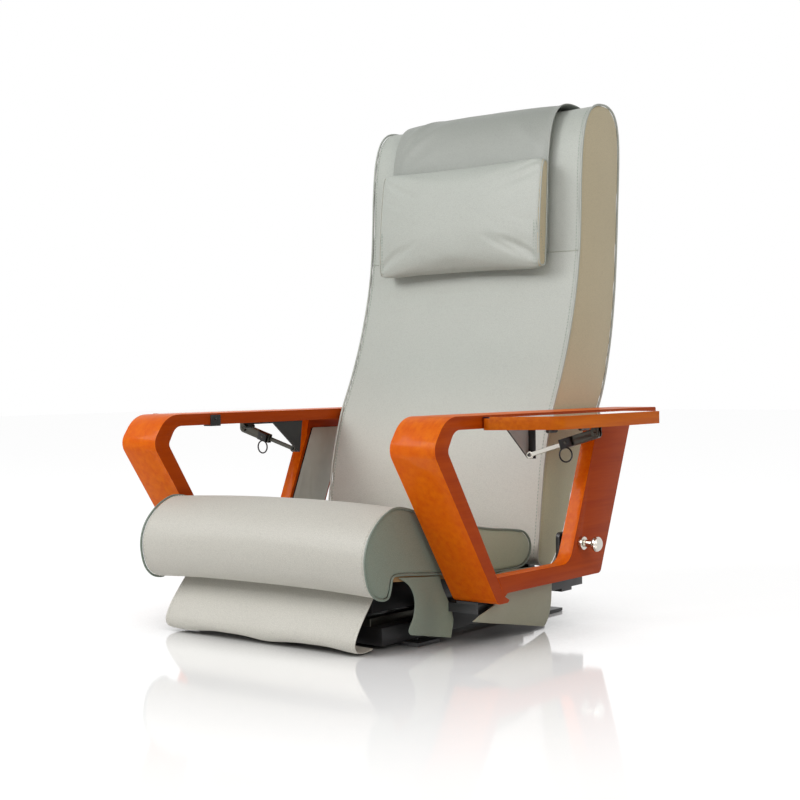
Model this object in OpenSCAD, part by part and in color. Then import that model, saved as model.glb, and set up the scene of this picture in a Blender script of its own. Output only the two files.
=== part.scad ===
// Reclining air massage chair on sliding rails, with lift-up wooden arms and drop-leaf trays.
// The chair faces -Y, +X is the sitter's left, and z = 0 is the floor under the base's feet.
// The origin is the centre of the base's four bolt holes.

/* [Seat] */
// Width of the seat cushion over its side seams
seat_w = 534; // [500:2:540]
// Front-to-back length of the seat cushion
seat_len = 483; // [460:1:490]
// Height of the seat cushion from the hem of its front roll to its highest seam
seat_rise = 146; // [130:1:150]
// Height of the hem of the front roll above the floor
seat_hem_z = 95; // [92:1:98]
// Crown of the seat's top between its side seams
seat_crown = 20; // [5:1:25]

/* [Backrest] */
// Width of the backrest over its side seams
back_w = 530; // [500:2:536]
// Height of the backrest from its lower edge to its top seam
back_rise = 907; // [850:1:960]
// Depth of the backrest's side view from its front foot to its rearmost point
back_depth = 321; // [300:1:330]
// Crown of the backrest's front between its side seams
back_crown = 18; // [5:1:22]
// Foam left in front of the backrest's rear pocket
back_foam_t = 52; // [45:1:58]

/* [Head pillow] */
// Width of the head pillow
pillow_w = 404; // [360:2:420]
// Height of the head pillow
pillow_h = 226; // [200:1:240]
// Thickness of the head pillow at its edges
pillow_t = 44; // [30:1:50]

/* [Arms] */
// Gap between the wider cushion's side seam and an arm's inner face
arm_clear = 13.5; // [11.5:0.5:20]
// Length of an arm from its front bend to its rear end
arm_len = 729; // [700:1:740]
// Height of an arm from its foot to its top
arm_rise = 320.5; // [310:0.5:330]
// Height of the arm's foot above the floor
arm_foot_z = 72.5; // [72.5:0.5:74]
// Width of the bent board that makes the arm's top and front
arm_w = 92; // [88:1:93]
// Thickness of the arm's top board
arm_top_t = 22; // [20:1:24]
// Thickness of the side board that makes the rail and the upright
side_t = 28; // [26:1:30]

/* [Trays] */
// Width of a tray's drop leaf
leaf_w = 120; // [110:1:124]
// Length of a tray's drop leaf
leaf_len = 395; // [380:1:400]
// Thickness of a tray's drop leaf
leaf_t = 22; // [20:1:24]
// Step from the arm's top down to the leaf's top
leaf_step = 2.5; // [2:0.5:4]

/* [Base] */
// Distance between the base's bolt holes across the chair
bolt_dx = 456; // [450:2:470]
// Distance between the base's bolt holes along the chair
bolt_dy = 400; // [380:1:400]
// Radius of the base's bolt holes
bolt_hole_r = 5.5; // [4:0.5:6]
// Forward travel of the seat on its rails
slide_travel = 100; // [20:1:100]

/* [Hidden] */
$fn = 48;

// Clearances: overrun of a cut, between flat faces, round a running pin, and round cloth
eps = 1;
gap = 0.3;
run_gap = 0.1;
cloth_gap = 0.5;

// Colours
leather_c = "#C6C6BE";
foam_side_c = "#8C8A76";
wood_c = "#C25E10";
black_c = "#1C1C1E";
steel_c = "#A8ABAE";
nickel_c = "#C9C9C4";
inlay_c = "#2A2030";
cell_c = "#3C4650";

// Seat outline
seat_rear_y = 100;
seat_front_y = seat_rear_y - seat_len;
seat_top_z = seat_hem_z + seat_rise;
seat_edge_r = 8;
// Front-to-back and height shares of the seat's side view, from the front roll's hem round to its inner face
seat_shares = [
  [0.120, 0.014], [0.089, 0], [0.048, 0.048], [0.014, 0.185], [0, 0.425], [0.014, 0.637],
  [0.054, 0.808], [0.114, 0.945], [0.190, 1], [0.337, 0.884], [0.524, 0.726], [0.710, 0.610],
  [0.886, 0.541], [0.963, 0.486], [1, 0.342], [0.990, 0.185], [0.942, 0.082], [0.834, 0.062],
  [0.669, 0.099], [0.474, 0.151], [0.317, 0.205], [0.182, 0.250], [0.145, 0.226], [0.135, 0.116]];
// Direction in the side view in which the seat's crown swells, as a unit vector
seat_swell = [-0.5, 0.866];

// Backrest outline
back_foot_y = 129;
back_foot_z = 94;
back_top_z = back_foot_z + back_rise;
back_edge_r = 9;
// Depth and height shares of the backrest's side view, up the front, over the top and down the rear
back_shares = [
  [0, 0.020], [0.022, 0.078], [0.053, 0.155], [0.090, 0.227], [0.171, 0.318], [0.290, 0.406],
  [0.383, 0.488], [0.449, 0.563], [0.489, 0.624], [0.517, 0.690], [0.533, 0.767], [0.542, 0.834],
  [0.567, 0.911], [0.617, 0.963], [0.688, 0.990], [0.782, 1], [0.882, 0.998], [0.956, 0.980],
  [0.994, 0.944], [1, 0.886], [0.978, 0.773], [0.953, 0.660], [0.922, 0.569], [0.863, 0.467],
  [0.763, 0.365], [0.611, 0.277], [0.458, 0.200], [0.383, 0.141], [0.296, 0.069], [0.209, 0.022],
  [0.140, 0], [0.059, 0.003]];
back_swell = [-1, 0];
// First and last of the outline's points that the rear shell, and the head flap, follow
shell_span_steps = [18, 28];
flap_span_steps = [9, 19];
// Depth and height shares of the pocket's front wall and of the frame's side members
pocket_shares = [
  [0.095, -0.020], [0.134, 0.029], [0.171, 0.084], [0.209, 0.155], [0.259, 0.227], [0.340, 0.310],
  [0.455, 0.398], [0.548, 0.486], [0.620, 0.563], [0.664, 0.668], [0.695, 0.778], [0.713, 0.889], [0.736, 0.949]];
frame_shares = [
  [0.171, 0.029], [0.221, 0.089], [0.271, 0.155], [0.346, 0.227], [0.458, 0.310], [0.589, 0.398],
  [0.682, 0.486], [0.745, 0.563], [0.788, 0.668], [0.816, 0.778], [0.832, 0.889], [0.838, 0.925]];
pocket_rear_shares = [
  [1.032, 0.949], [1.062, 0.867], [1.016, 0.558], [0.907, 0.381], [0.533, 0.194], [0.377, 0.062], [0.268, -0.020]];

// Rings across a cushion: shares of its half width between its edges, and the power of its crown
ring_shares = [-0.84, -0.56, -0.22, 0.22, 0.56, 0.84];
crown_power = 3;
seam_wave = 1.2;
seam_waves = 5;
seat_ladder = 4;
back_ladder = 1;
edge_steps = 2;
spline_steps = 2;

// Base
foot_plate = [54, 60, 6];
base_tube = [50, 30];
base_rear_y = 220;
block_shares = [-0.48, 0.42];
block_span = 250;
rail_over = 65;
base_front_y = block_shares.x * block_span - slide_travel - rail_over;
rail_x = 185;
rail_w = 20;
rail_h = 14;
base_top_z = foot_plate.z + base_tube.y;
rail_top_z = base_top_z + rail_h;
base_out_share = 0.7;
base_out_x = rail_x + base_tube.x * base_out_share;
base_in_x = base_out_x - base_tube.x;

// Carriage
block_w = 44;
block_l = 60;
block_cap_t = 8;
block_foot_gap = 2;
block_top_z = rail_top_z + block_cap_t;
side_plate_t = 20;
carriage_rear_y = 150;
front_bar_y = [-160, -120];
front_bar_z = [52, 68];
pad_t = arm_foot_z - front_bar_z.y - gap;
rear_bar_y = [95, 130];
lug_gap = 2;
rear_bar_z = [60, 86];
side_bar_y = [-118, 168];
side_bar_z = [66, 88];
tray_plate_t = 3;
tray_plate_z = 62;
tray_plate_y = [-280, -165];
ear_t = 6;

// Seat pan, which slopes down to the rear under the cushion
pan_front_y = -303;
pan_front_z = 128.6;
pan_slope = 4.7;
pan_len = 372;
pan_t = 9;
pan_in = 6;
pan_w = seat_w - 2 * pan_in;
seat_pocket = [410, 276, 40];
seat_pocket_y = 55;
cell = [180, 250, 30];
cell_r = 24;
hose_r = 4.5;
hose_x = 30;
hose_y = -225;

// Backrest hinge, and the crank below it that the recline actuator pulls
hinge_y = 172;
hinge_z = 78;
hinge_pin_r = 6;
hinge_ear_r = 13;
torque_tube_r = 14;
member_w = 22;
member_t = 20;
back_pocket_w = 464;
member_gap = 12;
member_x = back_pocket_w / 2 - member_gap - member_t;
crank_len = 50;
crank_r = 11;
crank_t = 6;
crank_gap = 14;
crank_pin_r = 4;
cross_at_steps = [8, 14, 20, 23];
cell_points = 2;
cross_r = 9;
back_cell = [150, 100, 8];
shell_t = 3;

// Recline actuator
act_y = -100;
act_z = 58;
act_tube_r = 16;
act_tube_l = 185;
act_rod_r = 7;
act_eye_r = 12;
act_eye_t = 12;
act_slot = 3.2;
act_slot_gap = 0.6;
act_pin_r = 5;
act_lug_t = 6;
gear_box = [84, 34, 32];
gear_box_at = 24;
motor_r = 20;
motor_l = 74;
motor_x = 46;
act_dy = hinge_y - act_y;
act_dz = hinge_z - crank_len - act_z;
act_len = norm([act_dy, act_dz]);
act_tilt = atan2(act_dz, act_dy);

// Slide actuator
slide_x = -110;
slide_z = 26;
slide_tube_r = 15;
slide_tube_y = -12;
slide_rod_r = 7;
slide_lug_y = -126;
slide_lug = [34, 12, 44];

// Arms
arm_in_x = max(seat_w, back_w) / 2 + arm_clear;
arm_out_x = arm_in_x + arm_w;
side_in_x = arm_out_x - side_t;
arm_front_y = -331;
arm_rear_y = arm_front_y + arm_len;
arm_top_z = arm_foot_z + arm_rise;
arm_under_z = arm_top_z - arm_top_t;
rail_low_share = 0.0515;
rail_low_z = arm_foot_z + rail_low_share * arm_rise;
// Length, height and corner radius shares of the bent board's side view, from its rear end round the front to its foot
arm_board_shares = [
  [1, 1, 0.01], [0.0398, 1, 0.172], [-0.0110, 0.8346, 0.0874], [0.2277, 0.0172, 0.0156], [0.2401, 0, 0.01],
  [0.2730, 0, 0.01], [0.2812, 0.0125, 0.004], [0.2606, 0.0359, 0.004], [0.2332, 0.1326, 0], [0.1440, 0.4633, 0.2],
  [0.0439, 0.8253, 0.0375], [0.0700, 0.9314, 0.078], [1, 0.9314, 0.01]];
// The same for the side board: its rail, and the upright up to the top board
arm_side_shares = [
  [0.2730, 0.0515, 0], [0.6959, 0.0515, 0.0374], [0.8545, 0.8970, 0.06], [0.8601, 0.9450, 0],
  [0.6860, 0.9450, 0], [0.6749, 0.8253, 0.12], [0.5479, 0.1404, 0.109], [0.2332, 0.1432, 0], [0.2600, 0.0330, 0]];
// The arm's pivot at its rear lower corner and its lock in the upright
arm_pivot_up = 16;
arm_pivot = [148, rail_low_z + arm_pivot_up];
arm_lock = [107, 151];
arc_steps = 8;
pivot_r = 6;
bushing_r = 10;
bushing_flange_r = 15;
bushing_flange_t = 2;
pivot_depth = 24;
arm_plate_t = 4;
pivot_boss_r = 18;
side_bar_w = 28;
side_bar_gap = 0.5;
lock_plate_t = 8;
side_bar_out_x = side_in_x - arm_plate_t - bushing_flange_t - side_bar_gap;
side_bar_x = [side_bar_out_x - side_bar_w, side_bar_out_x];
front_bar_x = side_bar_out_x - lock_plate_t;
lock_plate_x = [front_bar_x, side_bar_out_x];

// Lock knob
plunger_r = 5;
knob_collar_r = 12;
knob_collar_t = 8;
knob_neck_r = 7;
knob_head_r = 14;
knob_len = 43;

// Tray leaf and its hinge, whose axis runs along Y under the leaf's inner edge
leaf_front_y = -204;
leaf_rear_y = leaf_front_y + leaf_len;
leaf_gap = 1;
leaf_in_x = arm_out_x + leaf_gap;
leaf_out_x = leaf_in_x + leaf_w;
leaf_top_z = arm_top_z - leaf_step;
leaf_low_z = leaf_top_z - leaf_t;
leaf_cut = [14, 54];
leaf_corner_r = 14;
knuckle_r = 4;
knuckle_l = 14;
hinge_x = arm_out_x + leaf_gap / 2;
hinge_drop = 11.3;
hinge_axis_z = arm_under_z - hinge_drop;
hinge_ys = [12, 122];
tray_pin_r = 2;
hinge_plate = [26, 40, 2];
clamp_y = [-190, -164];
clamp_t = 3;
clamp_lap = 18;
clamp_edge = 3;
inlay_t = 2.5;
inlay_edge = 9;

// Stay that holds a leaf level, and its catch
stay_y = 62;
stay_drop = 80.5;
stay_foot_in = 13.5;
stay_foot = [arm_in_x + stay_foot_in, arm_top_z - stay_drop];
stay_head_out = 61;
stay_head_drop = 17;
stay_head = [leaf_in_x + stay_head_out, arm_under_z - stay_head_drop];
stay_dx = stay_head.x - stay_foot.x;
stay_dz = stay_head.y - stay_foot.y;
stay_len = norm([stay_dx, stay_dz]);
stay_tilt = atan2(stay_dz, stay_dx);
stay_pin_r = 3;
bar_h = 8;
bar_t = 5;
bar_len = 78;
sleeve_len = 78;
sleeve_h = 18;
sleeve_wall = 1.5;
bracket_t = 3;
bracket_y = [-12, 80];
catch_in = 16;
catch_size = [24, 17];
catch_t = 5;
ring_r = 13;
ring_wire_r = 1.5;

// Cloth
cloth_t = 2.6;
skirt_w = 450;
skirt_top_z = 124;
flap_cloth_t = 3;

// Head pillow
pillow_low_z = 668;
pillow_back_y = 291;
pillow_slope = 3.6;
// Thickness and height shares of the pillow's side view
pillow_shares = [
  [-0.64, 0.50], [-0.62, 0.30], [-0.54, 0.12], [-0.34, 0.015], [0, 0], [0.34, 0.01], [0.49, 0.05],
  [0.5, 0.25], [0.5, 0.5], [0.5, 0.75], [0.49, 0.95], [0.34, 0.99], [0, 1], [-0.34, 0.985],
  [-0.54, 0.88], [-0.62, 0.70]];
pillow_edge_r = 6;

// Points of a smooth curve and its normals
function blend(a, b, c, d, t) =
  0.5 * (2 * b + (c - a) * t + (2 * a - 5 * b + 4 * c - d) * t * t + (3 * b - a - 3 * c + d) * t * t * t);
function smooth_loop(p, n) = let (m = len(p))
  [for (i = [0 : m - 1]) for (k = [0 : n - 1]) blend(p[(i + m - 1) % m], p[i], p[(i + 1) % m], p[(i + 2) % m], k / n)];
function smooth_line(p, n) = let (m = len(p)) concat(
  [for (i = [0 : m - 2]) for (k = [0 : n - 1])
    blend(p[max(i - 1, 0)], p[i], p[i + 1], p[min(i + 2, m - 1)], k / n)], [p[m - 1]]);
function unit(v) = v / norm(v);
function loop_normal(p, i) = let (m = len(p), d = unit(p[(i + 1) % m] - p[(i + m - 1) % m])) [-d.y, d.x];
function line_normal(p, i) = let (d = unit(p[min(i + 1, len(p) - 1)] - p[max(i - 1, 0)])) [-d.y, d.x];
// Outline of a strip of width w along the open line p
function strip(p, w) = concat(
  [for (i = [0 : len(p) - 1]) p[i] + line_normal(p, i) * w / 2],
  [for (i = [len(p) - 1 : -1 : 0]) p[i] - line_normal(p, i) * w / 2]);
// Outline through corners [x, y, radius], each rounded by its radius
function corner(a, b, c, r) =
  r <= 0 ? [b] :
  let (u = unit(a - b), w = unit(c - b), half = acos(u * w) / 2, mid = b + unit(u + w) * r / sin(half),
       p = b + u * r / tan(half), q = b + w * r / tan(half),
       a0 = atan2(p.y - mid.y, p.x - mid.x), a1 = atan2(q.y - mid.y, q.x - mid.x),
       turn = (a1 - a0 + 540) % 360 - 180)
  [for (i = [0 : arc_steps]) mid + r * [cos(a0 + turn * i / arc_steps), sin(a0 + turn * i / arc_steps)]];
function rounded(p) = let (m = len(p), q = [for (v = p) [v.x, v.y]])
  [for (i = [0 : m - 1]) each corner(q[(i + m - 1) % m], q[i], q[(i + 1) % m], p[i].z)];

seat_line = smooth_loop([for (s = seat_shares)
  [seat_front_y + s.x * seat_len, seat_hem_z + s.y * seat_rise]], spline_steps);
back_line = smooth_loop([for (s = back_shares) back_at(s)], spline_steps);
frame_line = smooth_line(concat([[hinge_y, hinge_z]], [for (s = frame_shares) back_at(s)]), spline_steps);
function back_at(s) = [back_foot_y + s.x * back_depth, back_foot_z + s.y * back_rise];

// Swell of a cushion's crown at x, and how far its edge rounds in there
function crown_at(x, w) = 1 - pow(min(abs(2 * x / w), 1), crown_power);
function edge_stations(w, r) = [for (k = [0 : edge_steps]) let (a = 90 * k / edge_steps)
  [w / 2 - r + r * cos(a), r - r * sin(a)]];
function stations(w, r) = let (e = edge_stations(w, r)) concat(
  [for (s = e) [-s.x, s.y]],
  [for (s = ring_shares) [s * (w / 2 - r), 0]],
  [for (i = [edge_steps : -1 : 0]) e[i]]);
// One ring of a cushion: its outline, drawn in by an edge and swollen by the crown, at x
function ring(line, x, inset, w, crown, swell) = [for (i = [0 : len(line) - 1]) let (
  n = loop_normal(line, i), d = crown * crown_at(x, w) * max(0, n * swell) - inset,
  p = line[i] + n * d) [x, p.x, p.y]];

// The end ring of a cushion, with its seam wandering along x
function seam(ring) = [for (i = [0 : len(ring) - 1]) let (p = ring[i])
  [p.x - sign(p.x) * seam_wave * (1 - cos(360 * seam_waves * i / len(ring))) / 2, p.y, p.z]];
function seamed(rings) = let (n = len(rings)) [for (j = [0 : n - 1]) j == 0 || j == n - 1 ? seam(rings[j]) : rings[j]];
// Triangles across a ring of m points, zigzag from one side of the point first to the other
function ladder(m, first) = [for (j = [0 : m - 3]) let (
  i = floor(j / 2), a = first + i + j % 2, b = first + 2 * m - 1 - i, c = j % 2 == 0 ? a + 1 : b - 1)
  [a % m, c % m, b % m]];

// Closed mesh through rings of equal length; each quad is two triangles, and the ends are ladders from the point first
module skin(rings, first) {
  m = len(rings[0]);
  n = len(rings);
  sides = [for (j = [0 : n - 2]) for (i = [0 : m - 1]) let (
    a = j * m + i, b = j * m + (i + 1) % m, c = a + m, d = b + m) each [[a, b, d], [a, d, c]]];
  caps = is_undef(first) ? [[for (i = [m - 1 : -1 : 0]) i], [for (i = [0 : m - 1]) (n - 1) * m + i]] :
    [for (t = ladder(m, first)) each [[t.z, t.y, t.x], [for (v = t) (n - 1) * m + v]]];
  polyhedron(points = [for (r = rings) each r], faces = concat(sides, caps));
}

// Closed sheet between two grids of points, rows by columns; every face is a triangle
module sheet(front, rear) {
  n = len(front);
  m = len(front[0]);
  at = n * m;
  cells = [for (j = [0 : n - 2]) for (i = [0 : m - 2]) let (a = j * m + i, b = a + 1, c = a + m, d = c + 1)
    each [[a, b, d], [a, d, c], [at + a, at + d, at + b], [at + a, at + c, at + d]]];
  ends = [for (j = [0, n - 1]) for (i = [0 : m - 2]) let (a = j * m + i, b = a + 1)
    each j == 0 ? [[a, at + a, at + b], [a, at + b, b]] : [[a, at + b, at + a], [a, b, at + b]]];
  sides = [for (i = [0, m - 1]) for (j = [0 : n - 2]) let (a = j * m + i, c = a + m)
    each i == 0 ? [[a, at + c, at + a], [a, c, at + c]] : [[a, at + a, at + c], [a, at + c, c]]];
  polyhedron(points = concat([for (r = front) each r], [for (r = rear) each r]), faces = concat(cells, ends, sides));
}

// Plate of an outline [y, z] between two x
module across(outline, x0, x1) {
  translate([x0, 0, 0]) rotate([90, 0, 90]) linear_extrude(x1 - x0) polygon(outline);
}

// Box between two corners
module block(a, b) { translate(a) cube(b - a); }

// Bar round between two x at [y, z]
module round_bar(at, r, x0, x1) {
  translate([x0, at.x, at.y]) rotate([0, 90, 0]) cylinder(r = r, h = x1 - x0);
}

// Bar round along Y at [x, z] between two y
module bar_y(at, r, y0, y1) {
  translate([at.x, y1, at.y]) rotate([90, 0, 0]) cylinder(r = r, h = y1 - y0);
}

// The same piece on both sides, or on the one that s names: 1 left, -1 right
module both() { children(); mirror([1, 0, 0]) children(); }
module on_side(s) { mirror([s > 0 ? 0 : 1, 0, 0]) children(); }

// Frame of the seat pan: y along its slope from its front edge, z up from its top face
module on_pan() { translate([0, pan_front_y, pan_front_z]) rotate([-pan_slope, 0, 0]) children(); }
function pan_top(y) = pan_front_z - (y - pan_front_y) * tan(pan_slope);

// Base on the floor, with four bolted feet
module base_frame() {
  color(black_c) difference() {
    union() {
      both() {
        for (y = [-bolt_dy / 2, bolt_dy / 2])
          block([base_in_x, y - foot_plate.y / 2, 0], [bolt_dx / 2 + foot_plate.x / 2, y + foot_plate.y / 2, foot_plate.z]);
        block([base_in_x, base_front_y, foot_plate.z], [base_out_x, base_rear_y, base_top_z]);
      }
      for (y = [base_front_y, base_rear_y - base_tube.y])
        block([-base_in_x - eps, y, foot_plate.z], [base_in_x + eps, y + base_tube.y, base_top_z]);
    }
    both() for (y = [-bolt_dy / 2, bolt_dy / 2])
      translate([bolt_dx / 2, y, -eps]) cylinder(r = bolt_hole_r, h = foot_plate.z + 2 * eps);
  }
}

module guide_rails() {
  color(steel_c) both() translate([rail_x - rail_w / 2, base_front_y, base_top_z])
    cube([rail_w, base_rear_y - base_front_y, rail_h]);
}

// Electric cylinder that slides the seat; its housing is bolted to the base's rear bar
module slide_actuator_body() {
  rear = base_rear_y - base_tube.y;
  color(steel_c) difference() {
    union() {
      bar_y([slide_x, slide_z], slide_tube_r, slide_tube_y, rear);
      block([slide_x - 2 * slide_tube_r, rear - 4 * slide_tube_r, slide_z - slide_tube_r],
        [slide_x + 2 * slide_tube_r, rear - slide_tube_r, slide_z + slide_tube_r]);
    }
    bar_y([slide_x, slide_z], slide_rod_r + run_gap, slide_tube_y - eps, rear - slide_tube_r / 2);
  }
}

module slide_actuator_rod() {
  color(nickel_c) bar_y([slide_x, slide_z], slide_rod_r, slide_lug_y + slide_lug.y, base_rear_y - base_tube.y - slide_tube_r);
}

module slide_blocks() {
  color(steel_c) both() for (s = block_shares) difference() {
    block([rail_x - block_w / 2, s * block_span, base_top_z + block_foot_gap], [rail_x + block_w / 2, s * block_span + block_l, block_top_z]);
    block([rail_x - rail_w / 2 - gap, s * block_span - eps, base_top_z - eps],
      [rail_x + rail_w / 2 + gap, s * block_span + block_l + eps, rail_top_z + gap]);
  }
}

// Welded frame that slides, and carries the seat pan, the backrest and the arms
pan_under = pan_t / cos(pan_slope) + gap;
ear_in_x = member_x + member_t + lug_gap;
module carriage_frame() {
  color(black_c) difference() {
    union() {
      both() carriage_side();
      block([-front_bar_x, front_bar_y.x, front_bar_z.x], [front_bar_x, front_bar_y.y, front_bar_z.y]);
      block([-side_bar_x.y, rear_bar_y.x, rear_bar_z.x], [side_bar_x.y, rear_bar_y.y, rear_bar_z.y]);
      block([-rail_x, tray_plate_y.x, tray_plate_z], [rail_x, tray_plate_y.y, tray_plate_z + tray_plate_t]);
      block([slide_x - slide_lug.x / 2, slide_lug_y, front_bar_z.x - slide_lug.z],
        [slide_x + slide_lug.x / 2, slide_lug_y + slide_lug.y, front_bar_z.x + eps]);
      both() actuator_lug();
    }
    both() {
      round_bar([hinge_y, hinge_z], hinge_pin_r, member_x, ear_in_x + ear_t + eps);
      round_bar(arm_pivot, pivot_r, side_bar_x.x - eps, side_bar_x.y + eps);
      round_bar(arm_lock, plunger_r + gap, lock_plate_x.x - eps, lock_plate_x.y + eps);
    }
    round_bar([act_y, act_z], act_pin_r, -rail_x / 2, rail_x / 2);
  }
}

// Half of the carriage: side plate, arm bar with the arm's pivot and lock, and the backrest's ear
module carriage_side() {
  ear_arc = [for (a = [-90 : 15 : 90]) [hinge_y, hinge_z] + hinge_ear_r * [cos(a), sin(a)]];
  across([[tray_plate_y.x, block_top_z], [carriage_rear_y, block_top_z], [carriage_rear_y, rear_bar_z.y],
    [pan_front_y + pan_len, pan_top(pan_front_y + pan_len) - pan_under],
    [tray_plate_y.x, pan_top(tray_plate_y.x) - pan_under]],
    rail_x - side_plate_t / 2, rail_x + side_plate_t / 2);
  block([side_bar_x.x, side_bar_y.x, side_bar_z.x], [side_bar_x.y, side_bar_y.y, side_bar_z.y]);
  block([side_bar_x.x, front_bar_y.x, front_bar_z.x], [front_bar_x, side_bar_y.x + pad_t, front_bar_z.y]);
  block([side_bar_x.x, side_bar_y.x - eps, side_bar_z.x], [front_bar_x, side_bar_y.x + eps, front_bar_z.y]);
  across(concat(ear_arc, [[rear_bar_y.y - eps, hinge_z + hinge_ear_r], [rear_bar_y.y - eps, hinge_z - hinge_ear_r]]),
    ear_in_x, ear_in_x + ear_t);
  round_bar(arm_pivot, pivot_boss_r, side_bar_x.x, side_bar_x.y);
  block([side_bar_x.x, arm_pivot.x - pivot_boss_r, side_bar_z.x], [side_bar_x.y, arm_pivot.x + pivot_boss_r, arm_pivot.y]);
  across(rounded([[arm_lock.x - pivot_boss_r, side_bar_z.x, 0], [arm_pivot.x, side_bar_z.x, 0],
    [arm_pivot.x, arm_pivot.y, 0], [arm_lock.x + pivot_boss_r, arm_lock.y + pivot_boss_r, pivot_boss_r / 2],
    [arm_lock.x - pivot_boss_r, arm_lock.y + pivot_boss_r, pivot_boss_r / 2]]), lock_plate_x.x, lock_plate_x.y);
}

// Ear of the clevis that holds the recline actuator's front end
act_lug_in_x = act_tube_r + lug_gap;
module actuator_lug() {
  block([act_lug_in_x, front_bar_y.y - eps, act_z - act_eye_r], [act_lug_in_x + act_lug_t, act_y, front_bar_z.y]);
  round_bar([act_y, act_z], act_eye_r, act_lug_in_x, act_lug_in_x + act_lug_t);
}

module actuator_pin() {
  color(nickel_c) round_bar([act_y, act_z], act_pin_r - run_gap, -act_lug_in_x - act_lug_t - gap, act_lug_in_x + act_lug_t + gap);
}

module foot_pads() {
  color(black_c) both() block([arm_in_x + pad_t, front_bar_y.x, front_bar_z.y], [front_bar_x, front_bar_y.y, front_bar_z.y + pad_t]);
}

module back_hinge_pins() {
  color(nickel_c) both() round_bar([hinge_y, hinge_z], hinge_pin_r - run_gap, member_x + gap, ear_in_x + ear_t + 2 * gap);
}

module arm_pivot_bolts() {
  color(nickel_c) both() {
    round_bar(arm_pivot, pivot_r - run_gap, side_bar_x.x - gap, side_in_x + pivot_depth - gap);
    round_bar(arm_pivot, bushing_r, side_bar_x.x - bushing_flange_t - 2 * gap, side_bar_x.x - gap);
  }
}

module seat_pan() {
  color(black_c) difference() {
    on_pan() translate([-pan_w / 2, 0, -pan_t]) cube([pan_w, pan_len, pan_t]);
    both() translate([hose_x, hose_y, block_top_z]) cylinder(r = hose_r + gap, h = pan_front_z);
  }
}

// Flat slab with round corners that stands for one air cell
module air_cell(size) {
  linear_extrude(size.z) polygon(rounded([for (c = [[-1, -1], [1, -1], [1, 1], [-1, 1]])
    [c.x * size.x / 2, c.y * size.y / 2, cell_r]]));
}

module seat_air_cells() {
  color(cell_c) both() on_pan() translate([seat_pocket.x / 4, seat_pocket_y + seat_pocket.y / 2, gap]) air_cell(cell);
}

module seat_cushion() {
  rings = [for (s = stations(seat_w, seat_edge_r)) ring(seat_line, s.x, s.y, seat_w, seat_crown, seat_swell)];
  color(leather_c) difference() {
    skin(seamed(rings), seat_ladder);
    on_pan() translate([-seat_pocket.x / 2, seat_pocket_y, -seat_pocket.z]) cube([seat_pocket.x, seat_pocket.y, 2 * seat_pocket.z]);
  }
}

// Padded board beside the seat, on the carriage's arm bar
ledge_gap = 8;
ledge_in_x = seat_w / 2 + ledge_gap;
ledge_out_x = side_in_x - cloth_t - 3 * cloth_gap;
ledge_y = [-112, arm_pivot.x - bushing_r - lug_gap];
ledge_t = 17;
module side_ledge(s) {
  color(foam_side_c) on_side(s) translate([0, 0, side_bar_z.y]) linear_extrude(ledge_t) polygon(rounded([
    [ledge_in_x, ledge_y.x, pad_t], [ledge_out_x, ledge_y.x, pad_t],
    [ledge_out_x, arm_lock.x - pivot_boss_r - gap, 0], [side_bar_x.x - gap, arm_lock.x - pivot_boss_r - gap, 0],
    [side_bar_x.x - gap, ledge_y.y, pad_t], [ledge_in_x, ledge_y.y, pad_t]]));
}
module side_ledge_left() { side_ledge(1); }
module side_ledge_right() { side_ledge(-1); }

// Cloth that hangs from the front of the seat pan: its drop in the side view, and its soft folds
skirt_reach = 55;
skirt_flare = 8;
skirt_wave = 3;
skirt_waves = 2.5;
skirt_cols = 20;
skirt_shares = [[0.015, 1], [0.11, 0.806], [0.31, 0.685], [0.709, 0.444], [1, 0.23], [0.982, 0.125], [0.673, 0.08]];
skirt_drop = smooth_line([for (s = skirt_shares) [pan_front_y - s.x * skirt_reach, s.y * skirt_top_z]], spline_steps);
module front_skirt() {
  m = len(skirt_drop);
  fold = [for (t = [0, 1]) [for (i = [0 : m - 1]) [for (k = [0 : skirt_cols]) let (
    x = (k / skirt_cols - 0.5) * (skirt_w + skirt_flare * sin(180 * i / m)), n = line_normal(skirt_drop, i),
    wave = skirt_wave * pow(i / m, 2) * sin(360 * skirt_waves * k / skirt_cols + 60) + t * cloth_t,
    p = skirt_drop[i] - n * wave) [x, p.x, p.y]]]];
  color(leather_c) sheet(fold[1], fold[0]);
}

// Cloth beside the seat's front; rows run down, columns run to the rear
flap_len = 160;
flap_top_z = 126;
flap_front_shares = [[0.044, 1], [0.244, 0.857], [0.306, 0.667], [0.269, 0.429], [0.163, 0.262], [0.194, 0.206]];
flap_rear_shares = [[0.769, 0.921], [0.794, 0.778], [0.860, 0.635], [0.872, 0.429], [0.900, 0.286], [0.919, 0.048]];
flap_front = smooth_line([for (s = flap_front_shares) [pan_front_y + s.x * flap_len, s.y * flap_top_z]], spline_steps);
flap_rear = smooth_line([for (s = flap_rear_shares) [pan_front_y + s.x * flap_len, s.y * flap_top_z]], spline_steps);
flap_wave = 3;
flap_x = max(pan_w / 2, base_out_x) + cloth_gap;
flap_waves = 1.5;
flap_cols = 8;
module side_flap(s) {
  m = len(flap_front);
  rows = [for (t = [0, 1]) [for (i = [0 : m - 1]) [for (k = [0 : flap_cols]) let (
    p = flap_front[i] + (flap_rear[i] - flap_front[i]) * k / flap_cols,
    wave = flap_wave * i / m * sin(360 * flap_waves * k / flap_cols)) [flap_x + t * flap_cloth_t + abs(wave), p.x, p.y]]]];
  color(leather_c) on_side(s) sheet(rows[1], rows[0]);
}
module side_flap_left() { side_flap(1); }
module side_flap_right() { side_flap(-1); }

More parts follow.
